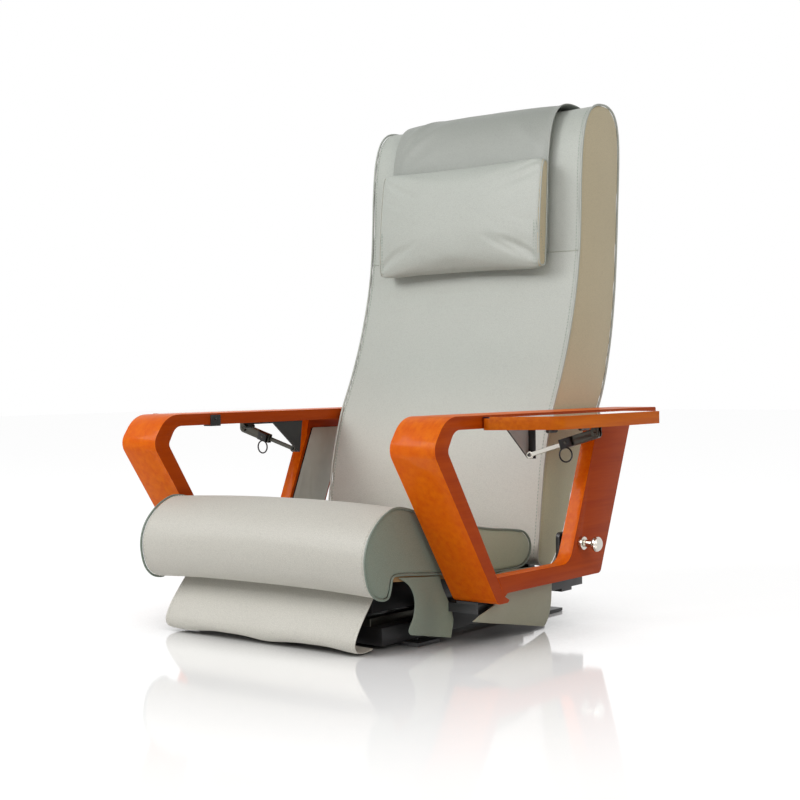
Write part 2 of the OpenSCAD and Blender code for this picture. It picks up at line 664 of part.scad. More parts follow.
// Cloth that hangs from the ledge's outer edge, just inside the arm's rail
rear_skirt_len = 166;
rear_skirt_top_z = 102;
rear_skirt_draw = 8;
rear_front_shares = [[0, 1], [-0.024, 0.843], [-0.054, 0.686], [-0.205, 0.598], [-0.361, 0.520], [-0.470, 0.441]];
rear_rear_shares = [[0.988, 1], [0.994, 0.784], [1, 0.588], [1, 0.392], [0.976, 0.196], [0.916, 0.035]];
rear_skirt_front = smooth_line([for (s = rear_front_shares)
  [ledge_y.x + s.x * rear_skirt_len, s.y * rear_skirt_top_z]], spline_steps);
rear_skirt_rear = smooth_line([for (s = rear_rear_shares)
  [ledge_y.x + s.x * rear_skirt_len, s.y * rear_skirt_top_z]], spline_steps);
module rear_skirt(s) {
  m = len(rear_skirt_front);
  rows = [for (t = [0, 1]) [for (i = [0 : m - 1]) [for (k = [0 : flap_cols]) let (
    p = rear_skirt_front[i] + (rear_skirt_rear[i] - rear_skirt_front[i]) * k / flap_cols,
    wave = flap_wave * i / m * sin(360 * flap_waves * k / flap_cols) - rear_skirt_draw * pow(i / m, 2))
    [ledge_out_x + cloth_gap + t * cloth_t + wave, p.x, p.y]]]];
  color(foam_side_c) on_side(s) sheet(rows[1], rows[0]);
}
module rear_skirt_left() { rear_skirt(1); }
module rear_skirt_right() { rear_skirt(-1); }

// Air supply on the carriage's plate
supply_z = tray_plate_z + tray_plate_t;
supply_in = 5;
supply_gap = 12;
valve = [100, 40, 30];
pump = [98, 88, 34];
box = [88, 88, 32];
hose_drop = 12;
module air_pump() {
  color(black_c) translate([valve.x / 2 + supply_gap, tray_plate_y.x + supply_in, supply_z]) cube(pump);
}
module valve_block() {
  color(steel_c) translate([-valve.x / 2, hose_y - valve.y / 2, supply_z]) cube(valve);
}
module air_hoses() {
  color(cell_c) {
    both() translate([hose_x, hose_y, supply_z + valve.z]) cylinder(r = hose_r, h = pan_top(hose_y) - supply_z - valve.z);
    round_bar([hose_y, supply_z + valve.z - hose_drop], hose_r, valve.x / 2, valve.x / 2 + supply_gap);
  }
}
module control_box() {
  color(black_c) translate([-valve.x / 2 - supply_gap - box.x, tray_plate_y.x + supply_in, supply_z]) cube(box);
}

// Recline actuator, drawn along Y from its front pivot
module on_act() { translate([0, act_y, act_z]) rotate([act_tilt, 0, 0]) children(); }

act_bore_y = 26;
module recline_actuator_body() {
  color(steel_c) on_act() difference() {
    union() {
      bar_y([0, 0], act_tube_r, 0, act_tube_l);
      round_bar([0, 0], act_eye_r, -act_lug_in_x + gap, act_lug_in_x - gap);
      block([-act_tube_r, gear_box_at, -gear_box.z / 2], [gear_box.x - act_tube_r, gear_box_at + gear_box.y, gear_box.z / 2]);
    }
    round_bar([0, 0], act_pin_r, -act_lug_in_x, act_lug_in_x);
    bar_y([0, 0], act_rod_r + run_gap, act_bore_y, act_tube_l + eps);
  }
}

module recline_motor() {
  color(black_c) on_act() bar_y([motor_x, 0], motor_r, gear_box_at + gear_box.y, gear_box_at + gear_box.y + motor_l);
}

act_rod_y = 60;
module recline_actuator_rod() {
  color(nickel_c) on_act() difference() {
    union() {
      bar_y([0, 0], act_rod_r, act_rod_y, act_len - act_eye_r / 2);
      round_bar([act_len, 0], act_eye_r, -act_eye_t / 2, act_eye_t / 2);
    }
    for (s = [-1, 1]) round_bar([act_len, s * act_slot], crank_pin_r + act_slot_gap, -act_eye_t, act_eye_t);
    block([-act_eye_t, act_len - crank_pin_r - act_slot_gap, -act_slot], [act_eye_t, act_len + crank_pin_r + act_slot_gap, act_slot]);
  }
}

// Backrest: its steel frame, bent with the cushion, on a torque tube at the hinge
module back_frame() {
  side = strip(frame_line, member_w);
  color(black_c) difference() {
    union() {
      both() across(side, member_x, member_x + member_t);
      round_bar([hinge_y, hinge_z], torque_tube_r, -member_x - member_t, member_x + member_t);
      for (i = cross_at_steps) round_bar(frame_line[i], cross_r, -member_x - eps, member_x + eps);
      both() {
        across([[hinge_y - crank_r, hinge_z - crank_len], [hinge_y + crank_r, hinge_z - crank_len],
          [hinge_y + crank_r, hinge_z], [hinge_y - crank_r, hinge_z]], crank_gap / 2, crank_gap / 2 + crank_t);
        round_bar([hinge_y, hinge_z - crank_len], crank_r, crank_gap / 2, crank_gap / 2 + crank_t);
      }
    }
    both() round_bar([hinge_y, hinge_z], hinge_pin_r, member_x - eps, member_x + member_t + eps);
    round_bar([hinge_y, hinge_z - crank_len], crank_pin_r, -crank_gap, crank_gap);
  }
}

module crank_pin() {
  color(nickel_c) round_bar([hinge_y, hinge_z - crank_len], crank_pin_r - run_gap, -crank_gap / 2 - crank_t, crank_gap / 2 + crank_t);
}

module back_shell() {
  line = [for (i = [shell_span_steps.x * spline_steps : shell_span_steps.y * spline_steps]) back_line[i]];
  outer = [for (i = [0 : len(line) - 1]) line[i] - line_normal(line, i) * cloth_gap];
  inner = [for (i = [len(line) - 1 : -1 : 0]) line[i] - line_normal(line, i) * (cloth_gap + shell_t)];
  color(black_c) across(concat(outer, inner), -back_pocket_w / 2 + gap, back_pocket_w / 2 - gap);
}

// Air cells that lie on the front of the frame's lower crossbars
module back_air_cells() {
  color(cell_c) for (i = [for (k = [0 : cell_points - 1]) cross_at_steps[k]]) let (
    p = frame_line[i], n = line_normal(frame_line, i))
    both() translate([seat_pocket.x / 4 - cell_r / 2, p.x, p.y]) rotate([atan2(n.y, n.x) - 90, 0, 0])
      translate([0, 0, cross_r + gap]) air_cell(back_cell);
}

module back_cushion() {
  rings = [for (s = stations(back_w, back_edge_r)) ring(back_line, s.x, s.y, back_w, back_crown, back_swell)];
  pocket = [for (s = concat(pocket_shares, pocket_rear_shares)) back_at(s)];
  color(leather_c) difference() {
    skin(seamed(rings), back_ladder);
    across(pocket, -back_pocket_w / 2, back_pocket_w / 2);
  }
}

// Leather flap over the backrest's top, behind the head pillow
flap_t = 3;
flap_lift = 0.5;
flap_steps = 12;
module head_flap() {
  ids = [flap_span_steps.x * spline_steps : flap_span_steps.y * spline_steps];
  rows = [for (t = [flap_lift, flap_lift + flap_t]) [for (i = ids) [for (k = [0 : flap_steps]) let (
    x = (k / flap_steps - 0.5) * (pillow_w - 2 * flap_t), n = loop_normal(back_line, i),
    p = back_line[i] + n * (t + back_crown * crown_at(x, back_w) * max(0, n * back_swell))) [x, p.x, p.y]]]];
  color(leather_c) sheet(rows[0], rows[1]);
}

// Head pillow, bent with the backrest's crown and clear of the flap
pillow_swell_share = 0.12;
module head_pillow() {
  half = pillow_w / 2;
  rings = [for (s = stations(pillow_w, pillow_edge_r)) let (
    lie = back_crown * crown_at(s.x, back_w) + flap_lift + flap_t + cloth_gap + pillow_t / 2,
    full = 1 - 2 * s.y / pillow_t - pillow_swell_share * pow(abs(s.x) / half, 2))
    [for (q = smooth_loop(pillow_shares, spline_steps)) let (h = q.y * (pillow_h - 2 * s.y) + s.y)
      [s.x, pillow_back_y + h * tan(pillow_slope) - lie + q.x * pillow_t * full, pillow_low_z + h]]];
  color(leather_c) skin(rings);
}

// Bent board and side board of an arm
function arm_outline(shares) = rounded([for (s = shares)
  [arm_front_y + s.x * arm_len, arm_foot_z + s.y * arm_rise, s.z * arm_rise]]);
module arm(s) {
  color(wood_c) on_side(s) difference() {
    union() {
      across(arm_outline(arm_board_shares), arm_in_x, arm_out_x);
      across(arm_outline(arm_side_shares), side_in_x, arm_out_x);
    }
    round_bar(arm_pivot, bushing_r + run_gap, side_in_x - eps, side_in_x + pivot_depth);
    round_bar(arm_lock, plunger_r + gap, side_in_x - eps, arm_out_x + eps);
  }
}
module arm_left() { arm(1); }
module arm_right() { arm(-1); }

// Steel plate on the upright's inner face, round the arm's pivot and lock
plate_shares = [[0.591, 0.073, 0.03], [0.687, 0.073, 0.03], [0.841, 0.872, 0.02], [0.695, 0.872, 0.02], [0.584, 0.289, 0.05]];
module arm_bracket(s) {
  color(black_c) on_side(s) difference() {
    across(arm_outline(plate_shares), side_in_x - arm_plate_t, side_in_x);
    round_bar(arm_pivot, bushing_r + run_gap, side_in_x - arm_plate_t - eps, side_in_x + eps);
    round_bar(arm_lock, plunger_r + gap, side_in_x - arm_plate_t - eps, side_in_x + eps);
  }
}
module arm_bracket_left() { arm_bracket(1); }
module arm_bracket_right() { arm_bracket(-1); }

// Flanged bushing of the arm's pivot, and the lock's collar on the upright's outer face
module arm_bushing(s) {
  plate_x = side_in_x - arm_plate_t;
  color(nickel_c) on_side(s) difference() {
    union() {
      round_bar(arm_pivot, bushing_r, plate_x - eps, side_in_x + pivot_depth - gap);
      round_bar(arm_pivot, bushing_flange_r, plate_x - bushing_flange_t, plate_x);
      round_bar(arm_lock, knob_collar_r, arm_out_x, arm_out_x + knob_collar_t);
    }
    round_bar(arm_pivot, pivot_r, plate_x - bushing_flange_t - eps, side_in_x + pivot_depth + eps);
    round_bar(arm_lock, plunger_r, arm_out_x - eps, arm_out_x + knob_collar_t + eps);
  }
}
module arm_bushing_left() { arm_bushing(1); }
module arm_bushing_right() { arm_bushing(-1); }

// Pull knob and its plunger
module lock_knob(s) {
  seat_x = arm_out_x + knob_collar_t + gap;
  end_x = arm_out_x + knob_len;
  head_share = 0.55;
  head_x = seat_x + (end_x - seat_x) * (1 - head_share);
  color(nickel_c) on_side(s) {
    round_bar(arm_lock, plunger_r - run_gap, side_in_x - arm_plate_t - bushing_flange_t + run_gap, head_x);
    round_bar(arm_lock, knob_neck_r, seat_x, head_x);
    translate([head_x, arm_lock.x, arm_lock.y]) rotate([0, 90, 0]) rotate_extrude() polygon(concat(
      [[0, 0], [knob_neck_r, 0]], [for (a = [-60 : 15 : 90])
        [knob_head_r * cos(a), (end_x - head_x) / 2 * (1 + sin(a))]]));
  }
}
module lock_knob_left() { lock_knob(1); }
module lock_knob_right() { lock_knob(-1); }

// Tray hinges: fixed knuckles and their pins under the arm's outer edge, joined by a strip; a clamp on the board's inner edge
leg_t = 3.2;
module tray_hinge(s) {
  color(black_c) on_side(s) {
    for (y = hinge_ys) {
      bar_y([hinge_x, hinge_axis_z], knuckle_r, y - knuckle_l / 2, y + knuckle_l / 2);
      bar_y([hinge_x, hinge_axis_z], tray_pin_r, y - knuckle_l - gap, y + knuckle_l + gap);
      block([hinge_x - knuckle_r, y - knuckle_l / 2, hinge_axis_z], [hinge_x - knuckle_r + leg_t, y + knuckle_l / 2, arm_under_z]);
      block([arm_out_x - hinge_plate.x, y - hinge_plate.y / 2, arm_under_z - hinge_plate.z],
        [hinge_x - knuckle_r + leg_t, y + hinge_plate.y / 2, arm_under_z]);
    }
    block([hinge_x - knuckle_r, hinge_ys.x, hinge_axis_z + knuckle_r + gap], [hinge_x - knuckle_r + leg_t / 2, hinge_ys.y, arm_under_z]);
    block([arm_in_x - clamp_t, clamp_y.x, arm_under_z - clamp_t], [arm_in_x, clamp_y.y, arm_top_z - clamp_edge]);
    block([arm_in_x - clamp_t, clamp_y.x, arm_under_z - clamp_t], [arm_in_x + clamp_lap, clamp_y.y, arm_under_z]);
    round_bar([(clamp_y.x + clamp_y.y) / 2, (arm_under_z + arm_top_z) / 2], clamp_t, arm_in_x - 2 * clamp_t, arm_in_x);
  }
}
module tray_hinge_left() { tray_hinge(1); }
module tray_hinge_right() { tray_hinge(-1); }

// Drop leaf, its inlay, and the lugs under it for the hinges and the stay
leaf_dir = unit([leaf_w - leaf_cut.x, leaf_cut.y]);
function cut_y(x, inset) = (x - leaf_cut.x + inset * leaf_dir.y) * leaf_dir.y / leaf_dir.x + inset * leaf_dir.x;
function leaf_outline(inset) = let (r = leaf_corner_r - min(inset, leaf_corner_r / 2), front = cut_y(inset, inset)) rounded([
  for (p = concat(
    front < inset ? [[0, 0, r / 2], [leaf_cut.x, 0, r]] : [[inset, front, r / 2]],
    [[leaf_w - inset, cut_y(leaf_w - inset, inset), 2 * r],
     [leaf_w - inset, leaf_len - inset, r / 2], [inset, leaf_len - inset, r / 2]]))
  [leaf_in_x + p.x, leaf_front_y + p.y, p.z]]);
module tray_leaf(s) {
  color(wood_c) on_side(s) difference() {
    translate([0, 0, leaf_low_z]) linear_extrude(leaf_t) polygon(leaf_outline(0));
    translate([0, 0, leaf_top_z - inlay_t]) linear_extrude(inlay_t + eps) polygon(leaf_outline(inlay_edge));
  }
}
module tray_leaf_left() { tray_leaf(1); }
module tray_leaf_right() { tray_leaf(-1); }

module tray_inlay(s) {
  color(inlay_c) on_side(s) translate([0, 0, leaf_top_z - inlay_t]) linear_extrude(inlay_t)
    polygon(leaf_outline(inlay_edge + gap));
}
module tray_inlay_left() { tray_inlay(1); }
module tray_inlay_right() { tray_inlay(-1); }

lug_plate_t = 2;
stay_lug_w = 14;
module tray_lugs(s) {
  head_gap = bar_t / 2 + 2 * cloth_gap + sleeve_wall;
  color(steel_c) on_side(s) difference() {
    union() {
      for (y = hinge_ys) for (t = [-1, 1]) {
        at_y = y + t * (knuckle_l + gap) - (t > 0 ? knuckle_l / 2 : 0);
        bar_y([hinge_x, hinge_axis_z], knuckle_r, at_y, at_y + knuckle_l / 2);
        block([hinge_x + gap, at_y, hinge_axis_z], [hinge_x + knuckle_r, at_y + knuckle_l / 2, leaf_low_z]);
        block([hinge_x + gap, at_y, leaf_low_z - lug_plate_t], [leaf_in_x + hinge_plate.x, at_y + knuckle_l / 2, leaf_low_z]);
      }
      for (t = [-1, 1]) {
        at_y = stay_y + t * (head_gap + lug_plate_t / 2) - lug_plate_t / 2;
        block([stay_head.x - stay_lug_w / 2, at_y, stay_head.y], [stay_head.x + stay_lug_w / 2, at_y + lug_plate_t, leaf_low_z]);
        bar_y(stay_head, stay_lug_w / 2, at_y, at_y + lug_plate_t);
      }
      bar_y(stay_head, stay_pin_r, stay_y - head_gap - 2 * lug_plate_t, stay_y + head_gap + 2 * lug_plate_t);
    }
    for (y = hinge_ys) bar_y([hinge_x, hinge_axis_z], tray_pin_r + run_gap, y - 2 * knuckle_l, y + 2 * knuckle_l);
  }
}
module tray_lugs_left() { tray_lugs(1); }
module tray_lugs_right() { tray_lugs(-1); }

// Stay: bracket under the arm, bar on the bracket's pin, and a channel that slides over the bar
bracket_x = 3;
flange_y = [stay_y + 6, stay_y + 9];
module stay_bracket(s) {
  x0 = arm_in_x + bracket_x;
  low_z = stay_foot.y - stay_lug_w / 2;
  color(steel_c) on_side(s) {
    across([[bracket_y.x, arm_under_z], [flange_y.x, low_z], [flange_y.y, low_z], [bracket_y.y, arm_under_z]], x0, x0 + bracket_t);
    block([x0, flange_y.x, low_z], [stay_foot.x + stay_lug_w / 2, flange_y.y, arm_under_z]);
    block([x0, bracket_y.x, arm_under_z - bracket_t], [stay_foot.x + stay_lug_w, bracket_y.y, arm_under_z]);
    bar_y(stay_foot, stay_pin_r, stay_y - bar_t, flange_y.y);
  }
}
module stay_bracket_left() { stay_bracket(1); }
module stay_bracket_right() { stay_bracket(-1); }

// Frame along the stay: x from its foot to its head
module on_stay() { translate([stay_foot.x, stay_y, stay_foot.y]) rotate([0, -stay_tilt, 0]) children(); }

module stay_bar(s) {
  color(nickel_c) on_side(s) on_stay() difference() {
    union() {
      translate([0, -bar_t / 2, -bar_h / 2]) cube([bar_len, bar_t, bar_h]);
      bar_y([0, 0], stay_lug_w / 2, -bar_t / 2, bar_t / 2);
    }
    bar_y([0, 0], stay_pin_r + run_gap, -bar_t, bar_t);
  }
}
module stay_bar_left() { stay_bar(1); }
module stay_bar_right() { stay_bar(-1); }

module stay_sleeve(s) {
  half = bar_t / 2 + cloth_gap + sleeve_wall;
  x0 = stay_len - sleeve_len;
  color(steel_c) on_side(s) on_stay() difference() {
    union() {
      translate([x0, -half, -sleeve_h / 2]) cube([sleeve_len, 2 * half, sleeve_h]);
      bar_y([stay_len, 0], sleeve_h / 2, -half, half);
      bar_y([x0 + catch_in, 0], stay_pin_r, -half - catch_t - 2 * gap, 0);
    }
    translate([x0 - eps, sleeve_wall - half, sleeve_wall - sleeve_h / 2])
      cube([sleeve_len + sleeve_h, 2 * (half - sleeve_wall), sleeve_h - 2 * sleeve_wall]);
    bar_y([stay_len, 0], stay_pin_r + run_gap, -2 * half, 2 * half);
  }
}
module stay_sleeve_left() { stay_sleeve(1); }
module stay_sleeve_right() { stay_sleeve(-1); }

// Catch beside the channel, with the ring that releases it
module stay_catch(s) {
  half = bar_t / 2 + cloth_gap + sleeve_wall;
  at = [stay_foot.x + (stay_len - sleeve_len + catch_in) * cos(stay_tilt),
    stay_foot.y + (stay_len - sleeve_len + catch_in) * sin(stay_tilt)];
  y1 = stay_y - half - gap;
  color(black_c) on_side(s) {
    difference() {
      translate([at.x, 0, at.y]) rotate([0, -stay_tilt, 0])
        block([-catch_size.x / 2, y1 - catch_t, -catch_size.y / 2], [catch_size.x / 2, y1, catch_size.y / 2]);
      bar_y(at, stay_pin_r + run_gap, y1 - 2 * catch_t, y1 + eps);
    }
    translate([at.x, y1 - catch_t / 2, at.y - catch_size.y / 2 - ring_r]) rotate([90, 0, 0])
      rotate_extrude() translate([ring_r, 0]) circle(r = ring_wire_r, $fn = 16);
  }
}
module stay_catch_left() { stay_catch(1); }
module stay_catch_right() { stay_catch(-1); }

base_frame();
guide_rails();
slide_actuator_body();
carriage_frame();
slide_blocks();
slide_actuator_rod();
foot_pads();
seat_pan();
seat_air_cells();
seat_cushion();
side_ledge_left();
side_ledge_right();
front_skirt();
side_flap_left();
side_flap_right();
rear_skirt_left();
rear_skirt_right();
air_pump();
valve_block();
air_hoses();
control_box();
back_hinge_pins();
arm_pivot_bolts();
actuator_pin();
recline_actuator_body();
recline_motor();
recline_actuator_rod();
back_frame();
crank_pin();
back_shell();
back_air_cells();
back_cushion();
head_flap();
head_pillow();
arm_left();
arm_right();
arm_bracket_left();
arm_bracket_right();
arm_bushing_left();
arm_bushing_right();
tray_hinge_left();
tray_hinge_right();
stay_bracket_left();
stay_bracket_right();
tray_leaf_left();
tray_leaf_right();
tray_inlay_left();
tray_inlay_right();
tray_lugs_left();
tray_lugs_right();
stay_bar_left();
stay_bar_right();
stay_sleeve_left();
stay_sleeve_right();
stay_catch_left();
stay_catch_right();
lock_knob_left();
lock_knob_right();
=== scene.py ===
"""Air massage chair: the looks of the seat, backrest, pillow, cloth, wood and metal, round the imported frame."""
import math

import bpy
import numpy as np
from mathutils import Matrix, Vector
from mathutils.bvhtree import BVHTree
from mathutils.kdtree import KDTree


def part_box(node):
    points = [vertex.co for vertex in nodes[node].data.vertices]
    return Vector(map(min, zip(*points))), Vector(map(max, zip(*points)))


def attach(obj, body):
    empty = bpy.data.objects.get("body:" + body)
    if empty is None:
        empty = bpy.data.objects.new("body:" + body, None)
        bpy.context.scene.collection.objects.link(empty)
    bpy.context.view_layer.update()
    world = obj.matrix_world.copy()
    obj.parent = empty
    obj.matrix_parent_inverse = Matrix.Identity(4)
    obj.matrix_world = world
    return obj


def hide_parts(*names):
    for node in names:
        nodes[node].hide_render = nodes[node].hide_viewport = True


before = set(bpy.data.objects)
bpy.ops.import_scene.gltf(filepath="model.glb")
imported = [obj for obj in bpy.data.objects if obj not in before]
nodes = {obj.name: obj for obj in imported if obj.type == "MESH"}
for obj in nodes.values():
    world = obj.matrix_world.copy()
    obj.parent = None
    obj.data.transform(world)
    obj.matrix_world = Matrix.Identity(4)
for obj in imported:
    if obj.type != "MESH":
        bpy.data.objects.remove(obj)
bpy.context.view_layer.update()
MM = 0.001

# Sizes of the chair in millimetres, as in the frame
SEAT_W, SEAT_CROWN = 534, 20
BACK_W, BACK_CROWN = 530, 18
PILLOW_W, PILLOW_H, PILLOW_T, PILLOW_Z = 404, 226, 44, 668
# Points that each span between two given points of a side view is drawn with
STEPS = 5
# Height of the level seam across the backrest, and the depth and the slope of its front behind the pillow
LEVEL_SEAM_Z = 704
BACK_FRONT_Y, BACK_SLOPE = 291, 3.6
SIDES = ((1, "left"), (-1, "right"))
# Side view of the seat: from the hem of its front roll, over the top to the rear, and back along the pan
SEAT_LINE = [
    (-325, 97), (-340, 95), (-360, 102), (-376, 122), (-383, 157), (-376, 188), (-357, 213), (-328, 233), (-291, 241),
    (-220, 224), (-130, 201), (-40, 184), (45, 174), (82, 166), (100, 145), (95, 122), (72, 107), (20, 104),
    (-60, 108), (-154, 117), (-230, 125), (-295, 131), (-313, 128), (-318, 112)]
# Side view of the backrest: up the front, over the top and down the rear
BACK_LINE = [
    (129, 112), (136, 165), (146, 235), (158, 300), (184, 382), (222, 462), (252, 537), (273, 605), (286, 660),
    (295, 720), (300, 790), (303, 850), (311, 920), (327, 967), (350, 992), (380, 1001), (412, 999), (436, 983),
    (448, 950), (450, 898), (443, 795), (435, 693), (425, 610), (406, 518), (374, 425), (325, 345), (276, 275),
    (252, 222), (224, 157), (196, 114), (174, 94), (148, 97)]
# Where the head flap starts behind the pillow, where the stitches end over the top, and where the flap ends behind
FLAP_START, STITCH_END, FLAP_END = 9 * STEPS - 1, 14 * STEPS, 20 * STEPS
SEAT_STITCH_END = 17 * STEPS


def between(a, b, c, d, steps):
    """Points from b up to c on the smooth curve through a, b, c and d."""
    return [0.5 * (2 * b + (c - a) * t + (2 * a - 5 * b + 4 * c - d) * t * t + (3 * b - a - 3 * c + d) * t ** 3)
            for t in (k / steps for k in range(steps))]


def smooth_loop(points, steps=STEPS):
    """Points of a smooth closed curve through the given ones."""
    p = np.array(points, float)
    out = []
    for i in range(len(p)):
        out += between(p[i - 1], p[i], p[(i + 1) % len(p)], p[(i + 2) % len(p)], steps)
    return np.array(out)


def smooth_line(points, steps=STEPS):
    """Points of a smooth open curve through the given ones."""
    p = np.array(points, float)
    out = []
    for i in range(len(p) - 1):
        out += between(p[max(i - 1, 0)], p[i], p[i + 1], p[min(i + 2, len(p) - 1)], steps)
    return np.array(out + [p[-1]])


def normals_of(line, closed=True):
    """Outward normals of a curve in the side view, which runs clockwise seen from the chair's left."""
    nxt, prv = np.roll(line, -1, 0), np.roll(line, 1, 0)
    if not closed:
        nxt[-1], prv[0] = line[-1], line[0]
    d = nxt - prv
    d /= np.linalg.norm(d, axis=1)[:, None]
    return np.stack([-d[:, 1], d[:, 0]], 1)


def aim_camera():
    """The camera, fitted to the photograph."""
    right = Vector((0.7851, 0.6192, -0.0132)).normalized()
    view = Vector((-0.6194, 0.7850, -0.0151)).normalized()
    up = right.cross(view).normalized()
    camera = bpy.data.cameras.new("camera")
    camera.lens = 64.889
    camera.sensor_width = 36
    camera.clip_end = 60
    holder = bpy.data.objects.new("camera", camera)
    bpy.context.scene.collection.objects.link(holder)
    place = Matrix((right, up, -view)).transposed().to_4x4()
    place.translation = Vector((1.74585, -2.16136, 0.45637))
    holder.matrix_world = place
    bpy.context.scene.camera = holder


def mixed(tree, factor, a, b, **settings):
    """The colour between a and b."""
    mix = add(tree, "ShaderNodeMix", {"Factor": factor, "A": a, "B": b}, data_type="RGBA", **settings)
    return mix.outputs["Result"]


def ranged(tree, value, **ends):
    """A value mapped from one range to another; the ends are given as from_min, from_max, to_min and to_max."""
    ends = {key.replace("_", " ").title(): end for key, end in ends.items()}
    return add(tree, "ShaderNodeMapRange", {"Value": value, **ends})


def linear(hex_colour):
    """An sRGB hex colour as linear RGBA."""
    c = [int(hex_colour[i:i + 2], 16) / 255 for i in (1, 3, 5)]
    return [v / 12.92 if v <= 0.04045 else ((v + 0.055) / 1.055) ** 2.4 for v in c] + [1]


def add(tree, kind, sockets=None, **settings):
    """Adds a node with its settings; a socket given as a value is linked."""
    node = tree.nodes.new(kind)
    for key, value in settings.items():
        setattr(node, key, value)
    for key, value in (sockets or {}).items():
        if isinstance(value, bpy.types.NodeSocket):
            tree.links.new(value, node.inputs[key])
        else:
            node.inputs[key].default_value = value
    return node


def blank(name):
    """A new material with an empty node tree."""
    material = bpy.data.materials.new(name)
    material.use_nodes = True
    material.node_tree.nodes.clear()
    return material, material.node_tree


def finish_material(tree, sockets):
    shader = add(tree, "ShaderNodeBsdfPrincipled", sockets)
    add(tree, "ShaderNodeOutputMaterial", {"Surface": shader.outputs["BSDF"]})


def leather(name, light, dark, low=None, grain=1.0, axis="Z"):
    """Coated split leather, embossed with a fine pebble, with soft broad highlights.

    low is a second colour, painted light and shade at one end of the axis, and the two places along the axis, in
    metres, between which it gives way to the first.
    """
    material, tree = blank(name)
    place = add(tree, "ShaderNodeTexCoord").outputs["Object"]
    # cells of the embossing, drawn 2.6 mm wide so that they show
    cells = add(tree, "ShaderNodeTexVoronoi", {"Vector": place, "Scale": 380.0}, feature="DISTANCE_TO_EDGE")
    creases = ranged(tree, cells.outputs["Distance"], from_max=0.25).outputs["Result"]
    pores = add(tree, "ShaderNodeTexNoise", {"Vector": place, "Scale": 900.0, "Detail": 2.0}).outputs["Fac"]
    # slow unevenness of the dye and of the foam under the hide, 80 to 200 mm across
    blotch = add(tree, "ShaderNodeTexNoise", {"Vector": place, "Scale": 7.0, "Detail": 3.0, "Roughness": 0.6})
    colour = mixed(tree, blotch.outputs["Fac"], linear(dark), linear(light))
    if low:
        along = add(tree, "ShaderNodeSeparateXYZ", {"Vector": place}).outputs[axis]
        fall = ranged(tree, along, from_min=low[1], from_max=low[2])
        fall.interpolation_type = "SMOOTHSTEP"
        colour = mixed(tree, fall.outputs["Result"], linear(low[0]), colour)
    # painted shade: the creases between the embossed cells are darkened by up to a seventh
    edge = ranged(tree, creases, to_min=0.86)
    shade = mixed(tree, 1.0, colour, edge.outputs["Result"], blend_type="MULTIPLY")
    rough = ranged(tree, pores, to_min=0.46, to_max=0.6)
    relief = add(tree, "ShaderNodeMath", {0: creases, 1: pores}, operation="ADD").outputs["Value"]
    bump = add(tree, "ShaderNodeBump", {"Height": relief, "Strength": 0.22 * grain, "Distance": 0.0006})
    finish_material(tree, {"Base Color": shade, "Roughness": rough.outputs["Result"],
                           "Normal": bump.outputs["Normal"], "IOR": 1.46, "Sheen Weight": 0.12})
    return material


def wood(name, dark, middle, light):
    """Beech stained cherry under a gloss lacquer: long fine grain below, and narrow highlights from the lamps above."""
    material, tree = blank(name)
    place = add(tree, "ShaderNodeTexCoord").outputs["Object"]
    # grain runs along the board, so the pattern is stretched twenty times along it
    along = add(tree, "ShaderNodeMapping", {"Vector": place, "Scale": (95.0, 4.5, 95.0)}).outputs["Vector"]
    fibre = add(tree, "ShaderNodeTexNoise", {"Vector": along, "Scale": 1.0, "Detail": 6.0, "Roughness": 0.62})
    wide = add(tree, "ShaderNodeMapping", {"Vector": place, "Scale": (14.0, 1.4, 14.0)}).outputs["Vector"]
    band = add(tree, "ShaderNodeTexNoise", {"Vector": wide, "Scale": 1.0, "Detail": 2.0, "Distortion": 0.6})
    ramp = add(tree, "ShaderNodeValToRGB", {"Fac": fibre.outputs["Fac"]})
    for stop, position, colour in zip(ramp.color_ramp.elements, (0.30, 0.66), (dark, light)):
        stop.position = position
        stop.color = linear(colour)
    stain = mixed(tree, band.outputs["Fac"], linear(middle), ramp.outputs["Color"])
    # the lacquer isn't quite level: orange peel a few millimetres across
    peel = add(tree, "ShaderNodeTexNoise", {"Vector": place, "Scale": 160.0, "Detail": 1.0})
    bump = add(tree, "ShaderNodeBump", {"Height": peel.outputs["Fac"], "Strength": 0.05, "Distance": 0.001})
    finish_material(tree, {"Base Color": stain, "Roughness": 0.45, "IOR": 1.5, "Specular IOR Level": 0.05,
                           "Coat Weight": 0.10, "Coat Roughness": 0.08, "Coat IOR": 1.45,
                           "Coat Normal": bump.outputs["Normal"]})
    return material


def metal(name, colour, rough, streak):
    """Plated or brushed steel; streak is the direction scale of its fine lines."""
    material, tree = blank(name)
    place = add(tree, "ShaderNodeTexCoord").outputs["Object"]
    lines = add(tree, "ShaderNodeMapping", {"Vector": place, "Scale": streak})
    fine = add(tree, "ShaderNodeTexNoise", {"Vector": lines.outputs["Vector"], "Scale": 1.0, "Detail": 3.0})
    wear = ranged(tree, fine.outputs["Fac"], to_min=rough * 0.7, to_max=rough * 1.3)
    bump = add(tree, "ShaderNodeBump", {"Height": fine.outputs["Fac"], "Strength": 0.08, "Distance": 0.0004})
    finish_material(tree, {"Base Color": linear(colour), "Metallic": 1.0, "Roughness": wear.outputs["Result"],
                           "Normal": bump.outputs["Normal"]})
    return material


